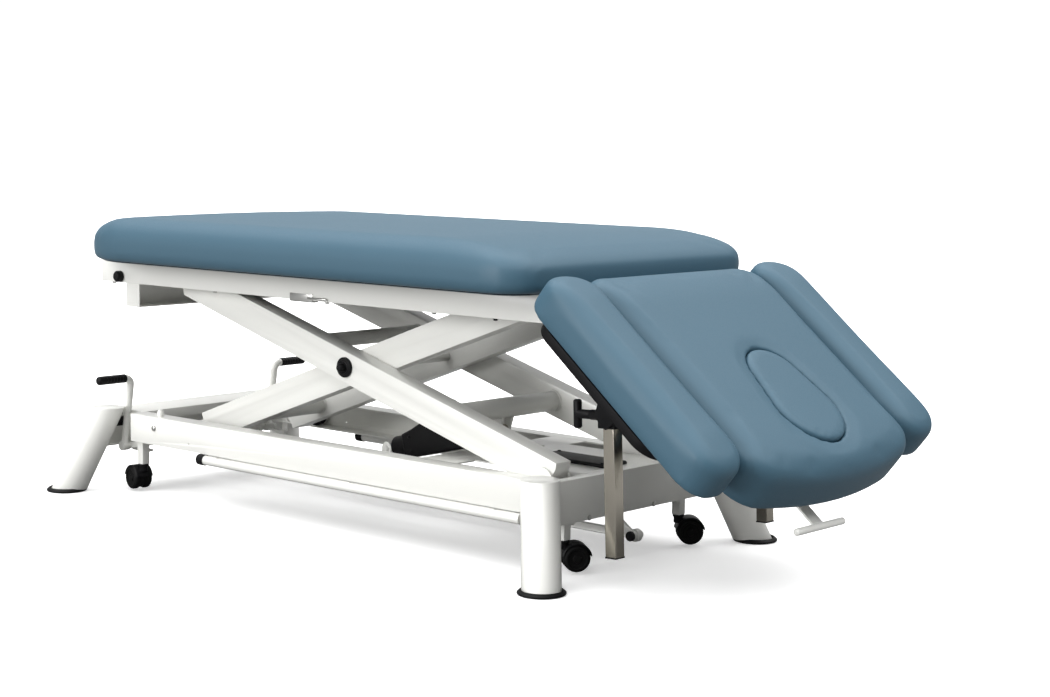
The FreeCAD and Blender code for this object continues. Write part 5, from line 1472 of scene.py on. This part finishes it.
@dataclass
class Studio:
    """Pale floor, soft light and the camera of the photograph.

    Each sun has its direction, power and spread in degrees.
    """

    width: int = 1050
    height: int = 697
    focal_px: float = 1975.0
    centre_px: tuple = (522.6, 345.6)
    eye: tuple = (2870.0, -2800.0, 789.0)
    right: tuple = (0.7433, 0.6690, 0.0108)
    up: tuple = (-0.0807, 0.0737, 0.9941)
    ahead: tuple = (-0.6641, 0.7397, -0.1087)
    sky: float = 0.32
    backdrop: float = 1.02
    overhead: tuple = ((0.08, -0.05, 0.99), 5.2, 110.0)
    front: tuple = ((-0.20, -0.95, 0.18), 2.3, 35.0)
    panel_place: tuple = (-3200.0, 3400.0, 1500.0)
    panel_size: tuple = (7.0, 3.0)
    panel_power: float = 22.0
    floor_pale: float = 0.92
    floor_bounce: float = 0.22
    floor_lift: float = 0.38
    floor_size: float = 30.0

    def camera(self) -> None:
        """Set the camera."""
        data = bpy.data.cameras.new("photo_camera")
        data.sensor_width = 36.0
        data.lens = self.focal_px / self.width * data.sensor_width
        data.shift_x = (self.width / 2 - self.centre_px[0]) / self.width
        data.shift_y = (self.centre_px[1] - self.height / 2) / self.width
        data.clip_end = 100.0
        made = Workshop.object_of("photo_camera", data)
        axes = Matrix((Vector(self.right), Vector(self.up), -Vector(self.ahead))).transposed().to_4x4()
        made.matrix_world = Matrix.Translation(at(*self.eye)) @ axes
        bpy.context.scene.camera = made

    def build(self) -> None:
        """Make floor, world, lights and camera."""
        scene = bpy.context.scene
        world = bpy.data.worlds.new("studio")
        scene.world = world
        world.use_nodes = True
        world.node_tree.nodes.clear()
        sky = Graph(world.node_tree)
        seen = sky.node("ShaderNodeLightPath")["Is Camera Ray"]
        strength = seen * (self.backdrop - self.sky) + self.sky
        glow = sky.node("ShaderNodeBackground", {}, {"Color": (1.0, 1.0, 1.0, 1.0), "Strength": strength})
        sky.node("ShaderNodeOutputWorld", {}, {"Surface": glow["Background"]})
        scene.view_settings.view_transform = "Standard"
        for name, (source, power, spread) in (("overhead", self.overhead), ("front", self.front)):
            lamp = bpy.data.lights.new(name, "SUN")
            lamp.energy = power
            lamp.angle = math.radians(spread)
            turn = Vector(source).to_track_quat("Z", "Y").to_euler()
            Workshop.object_of(name, lamp).rotation_euler = turn
        panel = bpy.data.lights.new("panel", "AREA")
        panel.shape = "RECTANGLE"
        panel.size, panel.size_y = self.panel_size
        panel.energy = self.panel_power
        made = Workshop.object_of("panel", panel)
        made.location = at(*self.panel_place)
        made.rotation_euler = made.location.to_track_quat("Z", "Y").to_euler()
        self.floor()
        self.camera()

    def floor(self) -> None:
        """Wide pale floor, bright to the camera and dim to the table above it."""
        form = bmesh.new()
        bmesh.ops.create_grid(form, x_segments=2, y_segments=2, size=self.floor_size)
        made = Workshop.from_bmesh("floor", form)
        shader = Shader("pale_floor", (0.9, 0.9, 0.9))
        seen = shader.node("ShaderNodeLightPath")["Is Camera Ray"]
        pale = shader.mix(seen, (self.floor_bounce,) * 3, (self.floor_pale,) * 3)
        lift = shader.mix(seen, (0.0,) * 3, (self.floor_lift,) * 3)
        finish = shader.finish({"Base Color": pale, "Roughness": 0.6, "Specular IOR Level": 0.0,
                                "Emission Color": lift, "Emission Strength": 1.0})
        made.data.materials.append(finish)


def main() -> None:
    """Build the studio, the finishes and each sub-assembly in order."""
    logging.basicConfig(level=logging.INFO, format="%(name)s: %(message)s")
    Studio().build()
    shop = Workshop(Finishes())
    Upholstery().build(shop)
    trims = (Castors(), BaseTrim(), ScissorTrim(), LiftTrim(), BedTrim(), Hardware(), Staples(), WeldBeads())
    for assembly in trims:
        assembly.build(shop)
    Dressing().dress(shop, frame["record"])


if __name__ == "__main__":
    main()
